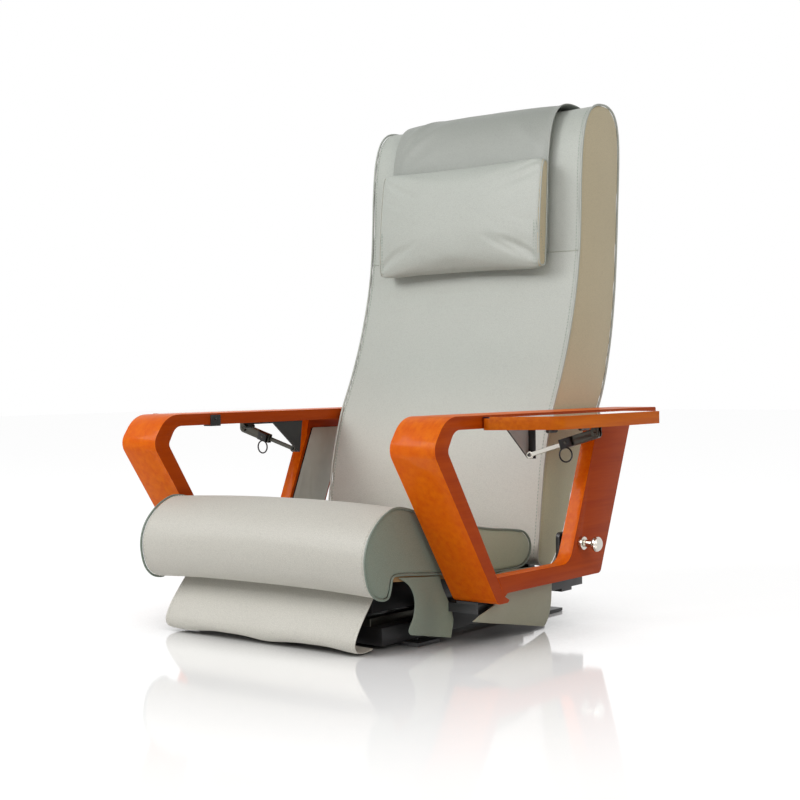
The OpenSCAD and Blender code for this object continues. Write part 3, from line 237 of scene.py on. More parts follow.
def coated(name, colour, rough, grit, coat=0.0):
    """Painted steel, moulded ABS or rubber: one colour with a fine grit that breaks up its highlight."""
    material, tree = blank(name)
    place = add(tree, "ShaderNodeTexCoord").outputs["Object"]
    fine = add(tree, "ShaderNodeTexNoise", {"Vector": place, "Scale": grit, "Detail": 3.0})
    dust = add(tree, "ShaderNodeTexNoise", {"Vector": place, "Scale": 25.0, "Detail": 2.0})
    wear = ranged(tree, dust.outputs["Fac"], to_min=rough * 0.8, to_max=rough * 1.2)
    tone = ranged(tree, dust.outputs["Fac"], to_min=0.8, to_max=1.1)
    shade = mixed(tree, 1.0, linear(colour), tone.outputs["Result"], blend_type="MULTIPLY")
    bump = add(tree, "ShaderNodeBump", {"Height": fine.outputs["Fac"], "Strength": 0.15, "Distance": 0.0003})
    finish_material(tree, {"Base Color": shade, "Roughness": wear.outputs["Result"],
                           "Normal": bump.outputs["Normal"], "Coat Weight": coat})
    return material


# grey leather; painted light makes it paler and warmer below 0.24 m, fading out by 0.5 m
HIDE = leather("split_leather_grey", "#C0C6BF", "#B7BDB6", low=("#D1CFC6", 0.24, 0.5))
# the grey leather again, painted darker as painted shade for the head flap
HIDE_FLAP = leather("split_leather_flap", "#A4A9A3", "#9BA09A")
# the same leather painted beige as painted warm light on the boxing, and paler low down as painted light
HIDE_BOX = leather("split_leather_boxing", "#D3C6A6", "#C8BC9C", low=("#DAD6B4", 0.25, 0.55))
# the same leather painted greener and darker as painted shade on the seat's sides, and darker still at the front roll's
# ends than behind
HIDE_SEAT = leather("split_leather_seat_side", "#B7C0A8", "#ABB49C", low=("#829083", -0.22, -0.08), axis="Y")
HIDE_PIPE = leather("split_leather_piping", "#7E8C80", "#748276")
# the same leather painted olive and darker, as painted shade, for the rear skirts and the ledges
HIDE_LOW = leather("split_leather_skirt", "#A6A793", "#999A86", grain=1.2)
HIDE_ROW = leather("split_leather_seam_row", "#B4BAAF", "#A9B0A4")
# the arms' lacquered beech in two copies: lighter as painted light for the faces the lamps light, darker as painted
# shade for those that look sideways
WOOD_LIT = wood("lacquered_beech_painted_light", "#DB5903", "#E86403", "#F68009")
WOOD_SHADED = wood("lacquered_beech_painted_shade", "#9E3602", "#AA3D03", "#C04F04")
WOOD_LEAF = wood("lacquered_beech_leaf", "#BE5404", "#CB5E05", "#E07A0A")
NICKEL = metal("satin_nickel", "#CFCBC2", 0.22, (300.0, 300.0, 300.0))
STEEL = metal("brushed_zinc_steel", "#B4B6B6", 0.32, (40.0, 900.0, 900.0))
DARK_STEEL = metal("phosphated_steel", "#55544E", 0.38, (40.0, 900.0, 900.0))
PLATE = coated("grey_powder_coat", "#C3C4C0", 0.4, 900.0)
BLACK = coated("black_powder_coat", "#161618", 0.42, 900.0)
ABS = coated("black_abs", "#1B1B1D", 0.5, 700.0)
RUBBER = coated("black_rubber", "#131313", 0.75, 500.0)
CELL = coated("coated_nylon_air_cell", "#2C333A", 0.6, 1200.0)
PLY = coated("sealed_plywood", "#9C7B50", 0.55, 300.0)
INLAY = coated("gloss_laminate_aubergine", "#241A2A", 0.08, 60.0, coat=1.0)
THREAD = coated("polyester_thread", "#9AAC9F", 0.7, 1500.0)
THREAD_PALE = coated("polyester_thread_pale", "#E4E2D8", 0.7, 1500.0)
THREAD_BOX = coated("polyester_thread_beige", "#CFC7AE", 0.7, 1500.0)


def paint(obj, *materials):
    obj.data.materials.clear()
    for material in materials:
        obj.data.materials.append(material)


def only(obj):
    """Makes obj the only one that is selected, and the active one."""
    for other in bpy.context.selected_objects:
        other.select_set(False)
    obj.select_set(True)
    bpy.context.view_layer.objects.active = obj


def smoothed(obj):
    obj.data.polygons.foreach_set("use_smooth", [True] * len(obj.data.polygons))


def by_face(obj, materials, second):
    """Paints obj with two materials: the second on the faces for which second() holds."""
    paint(obj, *materials)
    obj.data.polygons.foreach_set("material_index", [int(bool(second(face))) for face in obj.data.polygons])


def as_object(name, verts, faces, material):
    mesh = bpy.data.meshes.new(name)
    mesh.from_pydata([tuple(v) for v in verts], [], [tuple(f) for f in faces])
    mesh.validate()
    obj = bpy.data.objects.new(name, mesh)
    bpy.context.scene.collection.objects.link(obj)
    paint(obj, material)
    smoothed(obj)
    return obj


def apply(obj, kind, **settings):
    """Adds a modifier with its settings and applies it."""
    only(obj)
    modifier = obj.modifiers.new(kind.lower(), kind)
    for key, value in settings.items():
        setattr(modifier, key, value)
    bpy.ops.object.modifier_apply(modifier=modifier.name)


def coords(obj):
    """The object's vertices as rows of x, y and z."""
    flat = np.zeros(len(obj.data.vertices) * 3)
    obj.data.vertices.foreach_get("co", flat)
    return flat.reshape(-1, 3)


def set_coords(obj, points):
    obj.data.vertices.foreach_set("co", np.asarray(points, float).ravel())
    obj.data.update()


# The cushions' leather under pressure
CLOTH_FRAMES, CLOTH_PRESSURE, CLOTH_STIFFNESS = 20, 4.0, 12


def crown_at(x, half):
    """Share of a cushion's crown at x, which falls from one in the middle to nothing at its side seams."""
    return 1 - min(abs(x) / half, 1) ** 3


def crowned(line, x, half, crown, swell):
    """The cushion's outline at x, swollen by its crown in the direction of swell."""
    n = normals_of(line)
    return line + n * (crown * crown_at(x, half) * np.clip(n @ np.array(swell), 0, None))[:, None]


def shell(name, rings, material):
    """Closed skin over a row of rings (x, outline), with flat ends."""
    m = len(rings[0][1])
    verts = [(x * MM, p[0] * MM, p[1] * MM) for x, ring in rings for p in ring]
    faces = [(j * m + i, j * m + (i + 1) % m, (j + 1) * m + (i + 1) % m, (j + 1) * m + i)
             for j in range(len(rings) - 1) for i in range(m)]
    faces += [tuple(range(m - 1, -1, -1)), tuple(range((len(rings) - 1) * m, len(rings) * m))]
    obj = as_object(name, verts, faces, material)
    only(obj)
    bpy.ops.object.mode_set(mode="EDIT")
    bpy.ops.mesh.select_all(action="SELECT")
    bpy.ops.mesh.normals_make_consistent(inside=False)
    bpy.ops.object.mode_set(mode="OBJECT")
    return obj


def inflate(obj, voxel, cap, seams, hold):
    """Remeshes a cushion and blows it up as cloth between its pinned seams, by less than cap millimetres."""
    only(obj)
    obj.data.remesh_voxel_size = voxel * MM
    bpy.ops.object.voxel_remesh()
    smoothed(obj)
    start = coords(obj)
    tree = KDTree(len(seams))
    for i, p in enumerate(seams):
        tree.insert(Vector(p) * MM, i)
    tree.balance()
    pins = obj.vertex_groups.new(name="seam")
    held = [v.index for v in obj.data.vertices
            if tree.find(v.co)[2] < 0.9 * voxel * MM or hold(v.co, v.normal)]
    pins.add(held, 1.0, "REPLACE")
    cloth = obj.modifiers.new("cloth", "CLOTH")
    cloth.settings.vertex_group_mass = pins.name
    cloth.settings.use_pressure = True
    cloth.settings.uniform_pressure_force = CLOTH_PRESSURE
    cloth.settings.effector_weights.gravity = 0
    cloth.settings.quality = 4
    cloth.settings.tension_stiffness = CLOTH_STIFFNESS
    cloth.settings.compression_stiffness = CLOTH_STIFFNESS
    cloth.settings.bending_stiffness = 0.6
    cloth.point_cache.frame_start = 1
    cloth.point_cache.frame_end = CLOTH_FRAMES
    scene = bpy.context.scene
    for step in range(1, CLOTH_FRAMES + 1):
        scene.frame_set(step)
        bpy.context.view_layer.update()
    grown = obj.evaluated_get(bpy.context.evaluated_depsgraph_get())
    move = coords(grown) - start
    obj.modifiers.remove(cloth)
    scene.frame_set(1)
    size = np.linalg.norm(move, axis=1)
    limit = cap * MM
    soft = limit * np.tanh(size / limit)
    move *= (soft / np.maximum(size, 1e-9))[:, None]
    set_coords(obj, start + move)
    obj.vertex_groups.clear()
    apply(obj, "SMOOTH", factor=0.5, iterations=3)
    apply(obj, "SUBSURF", levels=1, render_levels=1)


def tube(path, radius, sides=8, closed=False):
    """Vertices and faces of a round cord along a path of points."""
    p = np.array(path, float)
    nxt, prv = np.roll(p, -1, 0), np.roll(p, 1, 0)
    if not closed:
        nxt[-1], prv[0] = p[-1], p[0]
    d = nxt - prv
    d /= np.linalg.norm(d, axis=1)[:, None]
    side = np.cross(d, [1.0, 0.02, 0.03])
    side /= np.linalg.norm(side, axis=1)[:, None]
    up = np.cross(side, d)
    a = np.linspace(0, 2 * math.pi, sides, endpoint=False)
    turn = np.cos(a)[None, :, None] * side[:, None] + np.sin(a)[None, :, None] * up[:, None]
    verts = (p[:, None] + radius * turn).reshape(-1, 3)
    n = len(p)
    rows = range(n if closed else n - 1)
    faces = [(i * sides + k, i * sides + j, (i + 1) % n * sides + j, (i + 1) % n * sides + k)
             for i in rows for k, j in ((k, (k + 1) % sides) for k in range(sides))]
    if not closed:
        faces += [tuple(range(sides - 1, -1, -1)), tuple(range((n - 1) * sides, n * sides))]
    return verts, faces


def merge(parts):
    """Joins (vertices, faces) pairs into one."""
    verts, faces, at = [], [], 0
    for v, f in parts:
        verts += [tuple(p) for p in v]
        faces += [tuple(i + at for i in face) for face in f]
        at += len(v)
    return verts, faces


def evenly(path, pitch):
    """Points along a path at an even pitch, with their directions."""
    p = np.array(path, float)
    step = np.linalg.norm(np.diff(p, axis=0), axis=1)
    run = np.concatenate([[0], np.cumsum(step)])
    at = np.arange(pitch / 2, run[-1], pitch)
    q = np.stack([np.interp(at, run, p[:, k]) for k in range(3)], 1)
    r = np.stack([np.interp(at + pitch * 0.2, run, p[:, k]) for k in range(3)], 1)
    d = r - q
    d /= np.maximum(np.linalg.norm(d, axis=1), 1e-9)[:, None]
    return q, d


def stitches(name, paths, surface, material, pitch=6.5, length=4.2, radius=0.55):
    """One row of saddle stitches per path, each lying on the surface."""
    tree = BVHTree.FromObject(surface, bpy.context.evaluated_depsgraph_get())
    bpy.ops.mesh.primitive_ico_sphere_add(subdivisions=1, radius=1)
    seed = bpy.context.object
    bead = coords(seed)
    bead_faces = [tuple(f.vertices) for f in seed.data.polygons]
    bpy.data.objects.remove(seed)
    parts = []
    for path in paths:
        for q, d in zip(*evenly(path, pitch)):
            spot, normal, _, _ = tree.find_nearest(Vector(q) * MM)
            along = Vector(d) - normal * Vector(d).dot(normal)
            along.normalize()
            across = normal.cross(along)
            axes = np.array([along * length / 2, across * radius, normal * radius]) * MM
            parts.append((bead @ axes + np.array(spot + normal * radius * 0.25 * MM), bead_faces))
    return as_object(name, *merge(parts), material)


def mirrored(half, shares):
    """Places from -half to half: the given shares of half, zero, and the same shares on the other side."""
    return [-half * share for share in shares] + [0] + [half * share for share in reversed(shares)]


def cushion(name, line, width, crown, swell, voxel, cap, hold, materials):
    """A boxed cushion: crowned between its two side seams, with side panels that swell a little."""
    half = width / 2
    # the pressure adds to the crown and to the outline, so both start lower for it
    start, draw = ((0.62, 5.0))
    rings = []
    for x in mirrored(half, (1, 0.97, 0.9, 0.78, 0.55, 0.28)):
        inner = 0 if abs(x) == half else draw * (1 - (abs(x) / half) ** 4)
        rings.append((x, crowned(line, x, half, crown * start, swell) - normals_of(line) * inner))
    obj = shell(name, rings, materials[0])
    seams = [(s * half, p[0], p[1]) for s in (-1, 1) for p in line]
    inflate(obj, voxel, cap, seams, hold)
    # the side panels take the second material, the leather painted with the light and shade of the chair's sides
    by_face(obj, materials, lambda face: abs(face.normal.x) > 0.6 and abs(face.center.x) > (half - 16) * MM)
    return obj


def seam_path(line, x, lift=0.0):
    """The side view's line at x, lifted off the cushion."""
    return np.column_stack([np.full(len(line), x), line + normals_of(line) * lift])


def welt(name, line, width, radius, material):
    """The folded seam allowance that stands up along both side seams."""
    parts = []
    for s in (-1, 1):
        verts, faces = tube(seam_path(line, s * (width / 2 - 0.6), 0.6), radius, closed=True)
        parts.append((verts * MM, faces))
    return as_object(name, *merge(parts), material)


def make_seat():
    line = smooth_loop(SEAT_LINE)
    pad = cushion("seat_pad", line, SEAT_W, SEAT_CROWN, swell=(-0.5, 0.866), voxel=6.0, cap=12.0,
                  hold=lambda p, n: n.z < -0.55 and p.y > -0.31, materials=(HIDE, HIDE_SEAT))
    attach(pad, "carriage")
    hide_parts("seat_cushion", "seat_air_cells")
    rim = welt("seat_welt", line, SEAT_W, 2.1, HIDE_PIPE)
    # stitched from the hem over the top and down the rear, and not along the pan
    rows = [seam_path(line, s * (SEAT_W / 2 - 8.5))[:SEAT_STITCH_END] for s in (-1, 1)]
    thread = stitches("seat_stitches", rows, pad, THREAD_PALE, radius=0.85)
    for piece in (rim, thread):
        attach(piece, "carriage")


def make_back():
    line = smooth_loop(BACK_LINE)
    pad = cushion("back_pad", line, BACK_W, BACK_CROWN, swell=(-1, 0), voxel=8.0, cap=13.0,
                  hold=lambda p, n: n.y > 0.6 and p.z > 0.5 or p.z < 0.14, materials=(HIDE, HIDE_BOX))
    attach(pad, "back")
    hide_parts("back_cushion", "back_shell", "back_air_cells")
    rim = welt("back_welt", line, BACK_W, 2.2, HIDE)
    rows = [seam_path(line, s * (BACK_W / 2 - 9))[:STITCH_END] for s in (-1, 1)]
    thread = stitches("back_stitches", rows, pad, THREAD, radius=0.8)
    box_rows = [seam_path(line, s * BACK_W / 2, -8)[:STITCH_END] for s in (-1, 1)]
    box_thread = stitches("back_box_stitches", box_rows, pad, THREAD_BOX)
    # level seam across the front where the head panel meets the lower panel
    tree = BVHTree.FromObject(pad, bpy.context.evaluated_depsgraph_get())
    path = []
    for x in np.linspace(-BACK_W / 2 + 3, BACK_W / 2 - 3, 60):
        hit = tree.ray_cast(Vector((x * MM, 0.0, LEVEL_SEAM_Z * MM)), Vector((0, 1, 0)))
        path.append(tuple(hit[0] / MM + hit[1] * 0.1))
    verts, faces = tube(path, 1.1, 6)
    level = as_object("back_level_seam", verts * MM, faces, HIDE_ROW)
    for piece in (rim, thread, box_thread, level):
        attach(piece, "back")


def pillow_front(x, z):
    """Depth of the backrest's front under the pillow, at x and z in millimetres."""
    return BACK_FRONT_Y + (z - PILLOW_Z) * math.tan(math.radians(BACK_SLOPE)) - BACK_CROWN * crown_at(x, BACK_W / 2)


# Side view of the pillow, in shares of its thickness and height: round in front, flat behind
PILLOW_LINE = [
    (-0.66, 0.42), (-0.65, 0.25), (-0.56, 0.09), (-0.34, 0.008), (0, 0), (0.34, 0.01), (0.47, 0.05), (0.5, 0.25),
    (0.5, 0.5), (0.5, 0.75), (0.47, 0.95), (0.32, 0.992), (0.06, 1), (-0.20, 0.985), (-0.42, 0.90), (-0.58, 0.68)]


def make_pillow():
    line = smooth_loop(PILLOW_LINE)
    half = PILLOW_W / 2
    stations = (0, 0.5, 0.75, 0.9, 0.97, 1)
    rings = []
    for x in mirrored(half, (1, 0.97, 0.9, 0.75, 0.5, 0.25)):
        # thinner and with rounded corners at its ends, and drawn in along its top and bottom
        at = abs(x) / half
        full = np.interp(at, stations, (1, 0.97, 0.91, 0.82, 0.70, 0.58)) - 0.08
        tall = np.interp(at, stations, (0.955, 0.965, 0.985, 1, 0.98, 0.94)) * (PILLOW_H - 4)
        ring = [(pillow_front(x, PILLOW_Z + q[1] * PILLOW_H) - 4 - PILLOW_T / 2 + q[0] * PILLOW_T * full,
                 PILLOW_Z + PILLOW_H / 2 + (q[1] - 0.5) * tall) for q in line]
        rings.append((x, np.array(ring)))
    pad = shell("neck_pillow", rings, HIDE)
    ends = [rings[0], rings[-1]]
    inflate(pad, 4.0, 9.0, [(x, p[0], p[1]) for x, ring in ends for p in ring], lambda p, n: n.y > 0.6)
    # the pillow's ends take the boxing's leather, painted beige as painted warm light
    by_face(pad, (HIDE, HIDE_BOX), lambda face: abs(face.normal.x) > 0.6 and abs(face.center.x) > (half - 12) * MM)
    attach(pad, "pillow")
    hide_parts("head_pillow")
    parts = []
    for x, ring in ends:
        verts, faces = tube(np.column_stack([np.full(len(ring), x * 0.999), ring]), 1.5, closed=True)
        parts.append((verts * MM, faces))
    rim = as_object("pillow_welt", *merge(parts), HIDE)
    # two rows of stitches beside each end, along the front's lower half and the underside
    low = rings[-1][1][:6 * STEPS]
    rows = [np.roll(np.column_stack([np.full(len(low), s * (half - inset)), low]), STEPS, 0)
            for inset in (7, 12) for s in (-1, 1)]
    thread = stitches("pillow_stitches", rows, pad, THREAD)
    for piece in (rim, thread):
        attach(piece, "pillow")


def grid(name, rows, material, thick, turn=False):
    """A sheet of cloth through rows of points in millimetres, given its thickness and softened."""
    rows = np.array(rows, float)
    n, m = rows.shape[:2]
    verts = rows.reshape(-1, 3) * MM
    faces = [(j * m + i, j * m + i + 1, (j + 1) * m + i + 1, (j + 1) * m + i)
             for j in range(n - 1) for i in range(m - 1)]
    if turn:
        faces = [f[::-1] for f in faces]
    obj = as_object(name, verts, faces, material)
    apply(obj, "SOLIDIFY", thickness=thick * MM, offset=-1.0)
    apply(obj, "SUBSURF", levels=1, render_levels=1)
    return obj


def ridges(run, out, folds, wide, start):
    """Height of the folds at a point that lies run along and out across from a corner.

    Each fold is (slope, where it starts, height, reach); wide is its width, and start how soon it rises.
    """
    tall = 0
    for slope, at, height, reach in folds:
        off = (run - at - slope * out) / math.hypot(1, slope)
        near, grown = math.exp(-(out / reach) ** 2), 1 - math.exp(-(out / start) ** 2)
        tall += height * math.exp(-(off / wide) ** 2) * near * grown
    return tall


# The flap's folds from the pillow's upper corners, on the sitter's right and left
RIGHT_FOLDS = ((0.35, 14, 7.0, 95), (0.75, 30, 6.0, 110), (1.6, 46, 4.5, 90))
LEFT_FOLDS = ((0.22, 10, 6.0, 100), (0.9, 26, 3.5, 80))


def make_flap():
    """Leather flap over the top of the backrest, from behind the pillow."""
    line = smooth_loop(BACK_LINE)[FLAP_START:FLAP_END]
    half = PILLOW_W / 2 - 2
    length = np.linalg.norm(np.diff(line, axis=0), axis=1).sum()
    rows = []
    for i, (p, q) in enumerate(zip(line, normals_of(line, closed=False))):
        t = i / (len(line) - 1)
        row = []
        for x in np.linspace(-half, half, 61):
            u = x / half
            rise = BACK_CROWN * crown_at(x, BACK_W / 2) * max(0, -q[0])
            lift = 3.2 + 3.2 * math.sin(math.pi * min(t * 1.5, 1)) * (1 - u ** 6)
            # its left-hand edge stands a little off the backrest
            lift += 5.0 * max(0, (u - 0.9) / 0.1) ** 2 * math.sin(math.pi * min(t * 1.2, 1))
            # slack drawn towards the pillow's upper corners: soft ridges that fan out from each
            run = (t - 0.20) * length
            fold = ridges(run, (u + 0.98) * half, RIGHT_FOLDS, wide=9, start=22)
            fold += ridges(run, (0.96 - u) * half, LEFT_FOLDS, wide=10, start=18)
            d = rise + lift + fold
            row.append((x, p[0] + q[0] * d, p[1] + q[1] * d))
        rows.append(row)
    flap = grid("head_flap_leather", rows, HIDE_FLAP, 2.6, turn=True)
    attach(flap, "back")
    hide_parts("head_flap")


def make_front_skirt():
    """Leather hung under the front roll, which bellies out and turns in at its hem."""
    drop = smooth_line([(-304.5, 125), (-311, 99), (-321, 85), (-346, 54), (-362, 26), (-358, 10), (-336, 4.6),
                        (-310, 6)], 6)
    rows = []
    for i, (p, q) in enumerate(zip(drop, normals_of(drop, closed=False))):
        t = i / (len(drop) - 1)
        row = []
        for u in np.linspace(-1, 1, 61):
            x = u * (225 + 5 * math.sin(math.pi * t) - 3 * t)
            d = 4.2 * t * t * math.sin(2.2 * math.pi * u + 1.05) + 0.8 * t * math.sin(4.6 * math.pi * u + 0.4)
            d *= 1 - max(0, t - 0.75) * 3
            row.append((x, p[0] - q[0] * d, p[1] - q[1] * d))
        rows.append(row)
    skirt = grid("front_skirt_leather", rows, HIDE, 2.2, turn=True)
    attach(skirt, "carriage")
    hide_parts("front_skirt")
    # stitched along the hem and down both sides
    seams = [np.array(rows[-3])] + [np.array([row[at] for row in rows]) for at in (1, -2)]
    thread = stitches("front_skirt_stitches", seams, skirt, THREAD_PALE, pitch=7, radius=0.75)
    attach(thread, "carriage")


def hanging(node, front, rear, x0, wave, waves, draw, thick, material):
    """Cloth panels on both sides between a front and a rear edge, x0 from the middle, wavy towards the hem."""
    a, b = smooth_line(front), smooth_line(rear)
    for s, side in SIDES:
        rows = []
        for i in range(len(a)):
            t = i / (len(a) - 1)
            row = []
            for u in np.linspace(0, 1, 25):
                p = a[i] + (b[i] - a[i]) * u
                x = x0 + wave * t * math.sin(2 * math.pi * waves * u + 0.4) - draw * t * t
                row.append((s * x, p[0], p[1]))
            rows.append(row)
        cloth = grid(f"{node}_leather_{side}", rows, material, thick, turn=s < 0)
        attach(cloth, "carriage")
        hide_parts(f"{node}_{side}")


def make_skirts():
    make_front_skirt()
    hanging("side_flap", [(-296, 126), (-270, 112), (-257, 96), (-253, 78), (-258, 56), (-272, 36), (-268, 27)],
            [(-180, 116), (-176, 100), (-166, 82), (-152, 58), (-146, 36), (-152, 14), (-156, 6)],
            x0=263.5, wave=2.4, waves=1.2, draw=-2.0, thick=2.2, material=HIDE_SEAT)
    hanging("rear_skirt", [(-112, 102), (-116, 86), (-121, 71), (-146, 61), (-172, 53), (-190, 45)],
            [(52, 102), (53, 80), (54, 60), (54, 40), (50, 20), (40, 4)],
            x0=342.6, wave=2.6, waves=1.6, draw=7.0, thick=2.2, material=HIDE_LOW)


def make_ledges():
    """Leather-covered board between the seat and the rail, with a second strip lapped over its outer half."""
    for s, side in SIDES:
        bpy.ops.mesh.primitive_cube_add(size=1)
        board = bpy.context.object
        board.name = f"ledge_pad_{side}"
        lo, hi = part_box(f"side_ledge_{side}")
        # 2 mm narrower than its solid on the outer side, and 49 mm shorter at the rear
        x0, x1 = (lo.x, hi.x - 0.002) if s > 0 else (lo.x + 0.002, hi.x)
        set_coords(board, [(x0 + (x1 - x0) * (v[0] + 0.5), lo.y + 0.001 + (hi.y - lo.y - 0.05) * (v[1] + 0.5),
                            lo.z + (hi.z - lo.z) * (v[2] + 0.5)) for v in coords(board)])
        only(board)
        bpy.ops.object.mode_set(mode="EDIT")
        bpy.ops.mesh.select_all(action="SELECT")
        bpy.ops.mesh.subdivide(number_cuts=6)
        bpy.ops.object.mode_set(mode="OBJECT")
        apply(board, "BEVEL", width=0.004, segments=3, limit_method="ANGLE")
        p = coords(board)
        step = np.clip(s * (p[:, 0] - (x0 + x1) / 2) / 0.004, 0, 1)
        wave = 0.0012 * np.sin(p[:, 1] * 38 + 1)
        p[:, 2] += np.where(p[:, 2] > hi.z - 0.006, 0.0022 * step - 0.0012 + wave, 0)
        set_coords(board, p)
        smoothed(board)
        paint(board, HIDE_LOW)
        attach(board, "carriage")
        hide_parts(f"side_ledge_{side}")


def round_edges(name, width, segments=3):
    """Eases the sharp edges of a part of the frame, in place."""
    obj = nodes[name]
    smoothed(obj)
    weld = obj.modifiers.new("weld", "WELD")
    weld.merge_threshold = 0.00001
    flat = obj.modifiers.new("flat", "DECIMATE")
    flat.decimate_type = "DISSOLVE"
    flat.angle_limit = math.radians(0.6)
    ease = obj.modifiers.new("ease", "BEVEL")
    ease.width = width * MM
    ease.segments = segments
    ease.limit_method = "ANGLE"
    ease.angle_limit = math.radians(32)
    ease.harden_normals = True
    ease.use_clamp_overlap = True


# What the frame's parts are made of: single ones, and those that there is a left and a right one of
FINISHES = (
    (BLACK, ("base_frame", "carriage_frame", "back_frame"), ("arm_bracket", "tray_hinge", "stay_catch")),
    (STEEL, ("slide_actuator_body", "recline_actuator_body"), ()),
    (DARK_STEEL, ("guide_rails", "slide_blocks"), ("tray_lugs", "stay_sleeve")),
    (NICKEL, ("slide_actuator_rod", "recline_actuator_rod", "back_hinge_pins", "arm_pivot_bolts", "actuator_pin",
              "crank_pin"), ("arm_bushing", "stay_bar", "lock_knob")),
    (ABS, ("air_pump", "valve_block", "control_box", "recline_motor", "back_shell"), ()),
    (RUBBER, ("foot_pads",), ()),
    (CELL, ("air_hoses", "seat_air_cells", "back_air_cells"), ()),
    (PLY, ("seat_pan",), ()),
    (WOOD_LEAF, (), ("tray_leaf",)),
    (INLAY, (), ("tray_inlay",)))
# How far their edges are rounded, in millimetres
EDGES = {"base_frame": 2.5, "carriage_frame": 1.5, "back_frame": 2.0, "guide_rails": 1.0, "slide_blocks": 1.5,
         "air_pump": 3.0, "control_box": 3.0, "valve_block": 2.0, "recline_motor": 2.0, "recline_actuator_body": 1.5,
         "slide_actuator_body": 1.5}
SIDE_EDGES = {"tray_leaf": 2.0, "tray_lugs": 0.5, "stay_sleeve": 0.8, "stay_bar": 0.6, "stay_bracket": 0.6,
              "arm_bracket": 0.8, "tray_hinge": 0.5, "arm_bushing": 0.8, "lock_knob": 0.8, "stay_catch": 0.8}
# Between these places along Y, in metres, lie the faces of the stay bracket's flange
FLANGE_Y = (0.0679, 0.0711)


def finish_frame():
    for material, single, paired in FINISHES:
        for name in [*single, *(f"{name}_{side}" for name in paired for _, side in SIDES)]:
            paint(nodes[name], material)
    # the stay bar on the sitter's right is painted dark steel as painted shade, where the left one is nickel
    paint(nodes["stay_bar_right"], DARK_STEEL)
    for s, side in SIDES:
        # the arms' faces that look sideways along x are painted darker than the rest, as painted shade
        by_face(nodes[f"arm_{side}"], (WOOD_LIT, WOOD_SHADED), lambda face: abs(face.normal.x) > 0.7)
        # the lock's plate is grey on its face towards the seat, and black elsewhere
        by_face(nodes[f"arm_bracket_{side}"], (BLACK, PLATE), lambda face: face.normal.x * s < -0.5)
        # the stay bracket's flange is black, its faces that don't look outwards are painted black as painted shade, and
        # its outer plate is grey
        by_face(nodes[f"stay_bracket_{side}"], (PLATE, BLACK),
                lambda face: face.normal.x * s < 0.5 or FLANGE_Y[0] < face.center.y < FLANGE_Y[1])
        round_edges(f"arm_{side}", 4.0, segments=4)
        for name, width in SIDE_EDGES.items():
            round_edges(f"{name}_{side}", width)
    for name, width in EDGES.items():
        round_edges(name, width)


def any_ray(tree, *kinds):
    """One for the given kinds of ray, and nothing for the others."""
    path = add(tree, "ShaderNodeLightPath")
    held = path.outputs[kinds[0]]
    for kind in kinds[1:]:
        held = add(tree, "ShaderNodeMath", {0: held, 1: path.outputs[kind]}, operation="MAXIMUM").outputs[0]
    return held


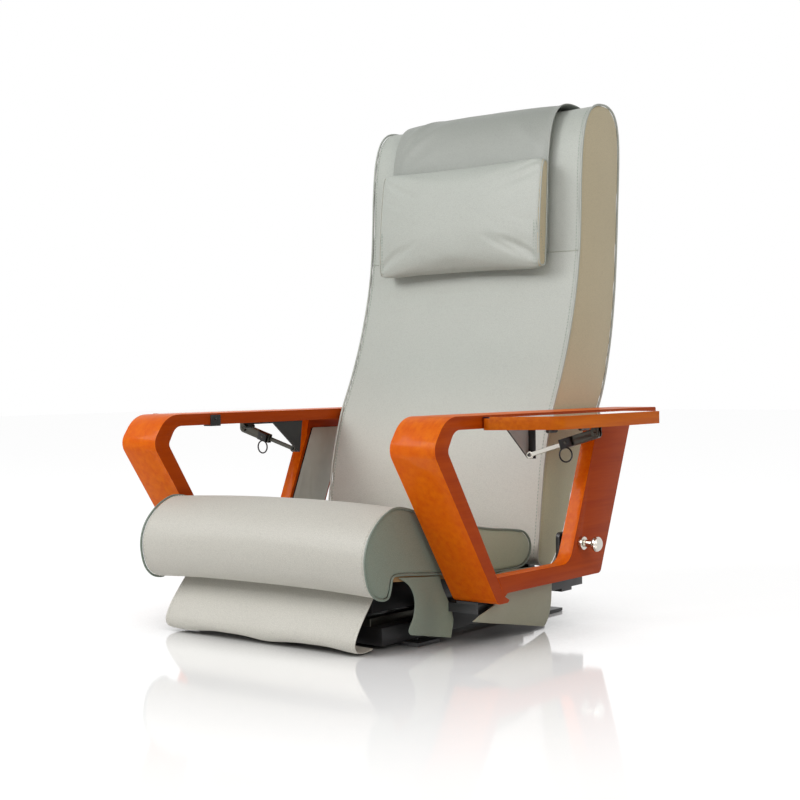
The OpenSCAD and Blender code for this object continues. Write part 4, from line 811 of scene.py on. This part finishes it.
def white_floor():
    """Pale gloss sweep: it shows white to the camera, and keeps a faint reflection and the chair's shadow."""
    bpy.ops.mesh.primitive_plane_add(size=30, location=(0, 0, 0))
    floor = bpy.context.object
    floor.name = "floor"
    set_coords(floor, coords(floor) + np.array([0, 0, -0.0006]))
    material, tree = blank("white_gloss_floor")
    # a glow just short of white, which the lit sheet lifts to white and its shadow doesn't; ambient occlusion dims the
    # glow, a painted shadow under and beside the chair
    near = add(tree, "ShaderNodeAmbientOcclusion", {"Distance": 0.42}, samples=8)
    clear = ranged(tree, near.outputs["AO"], from_min=0.15, from_max=0.78, to_min=0.0, to_max=0.82)
    clear.interpolation_type = "SMOOTHSTEP"
    glow = add(tree, "ShaderNodeEmission", {"Color": (1, 1, 1, 1), "Strength": clear.outputs["Result"]})
    matt = add(tree, "ShaderNodeBsdfDiffuse", {"Color": (0.38, 0.38, 0.38, 1)})
    gloss = add(tree, "ShaderNodeBsdfGlossy", {"Color": (1, 1, 1, 1), "Roughness": 0.07})
    base = add(tree, "ShaderNodeAddShader", {0: glow.outputs[0], 1: matt.outputs[0]})
    # the reflection is clearest beside the chair and fades over the next metre
    spot = add(tree, "ShaderNodeTexCoord").outputs["Object"]
    far = add(tree, "ShaderNodeVectorMath", {0: spot}, operation="LENGTH")
    fade = ranged(tree, far.outputs["Value"], from_min=0.35, from_max=1.25, to_min=0.46, to_max=0.10)
    fade.interpolation_type = "SMOOTHSTEP"
    shown = add(tree, "ShaderNodeMixShader", {0: fade.outputs["Result"], 1: base.outputs[0], 2: gloss.outputs[0]})
    # what lights the chair from below is a plain pale floor
    plain = add(tree, "ShaderNodeBsdfDiffuse", {"Color": (0.85, 0.85, 0.85, 1)})
    seen = any_ray(tree, "Is Camera Ray", "Is Glossy Ray")
    both = add(tree, "ShaderNodeMixShader", {0: seen, 1: plain.outputs[0], 2: shown.outputs[0]})
    add(tree, "ShaderNodeOutputMaterial", {"Surface": both.outputs[0]})
    paint(floor, material)


def lamp(name, place, target, size, power, tint="#FFFFFF"):
    """A rectangular lamp at place that faces target."""
    data = bpy.data.lights.new(name, "AREA")
    data.shape = "RECTANGLE"
    data.size, data.size_y = size
    data.energy = power
    data.color = linear(tint)[:3]
    obj = bpy.data.objects.new(name, data)
    bpy.context.scene.collection.objects.link(obj)
    obj.location = place
    obj.rotation_euler = (Vector(target) - Vector(place)).to_track_quat("-Z", "Y").to_euler()
    return obj


def light():
    """A white studio: a low even light for the chair, white behind it, and three lamps."""
    world = bpy.data.worlds.new("studio")
    bpy.context.scene.world = world
    world.use_nodes = True
    tree = world.node_tree
    tree.nodes.clear()
    seen = any_ray(tree, "Is Camera Ray", "Is Glossy Ray", "Is Transmission Ray")
    level = ranged(tree, seen, to_min=0.41, to_max=1.0)
    back = add(tree, "ShaderNodeBackground", {"Color": (1, 1, 1, 1), "Strength": level.outputs["Result"]})
    add(tree, "ShaderNodeOutputWorld", {"Surface": back.outputs[0]})
    lamp("key", (-2.2, -2.6, 2.6), (0, 0, 0.5), (1.8, 1.8), 76, "#FFFEFC")
    lamp("fill", (2.6, -1.2, 1.6), (0, 0.1, 0.5), (1.2, 1.8), 17, "#FFF8EC")
    # strip that shows only as the narrow highlights in lacquer and metal
    strip = lamp("strip", (0.3, -3.2, 2.1), (0.2, 0, 0.3), (2.4, 0.2), 240)
    strip.visible_diffuse = False
    bpy.context.scene.view_settings.view_transform = "Standard"


aim_camera()
make_seat()
make_back()
make_pillow()
make_flap()
make_skirts()
make_ledges()
finish_frame()
white_floor()
light()
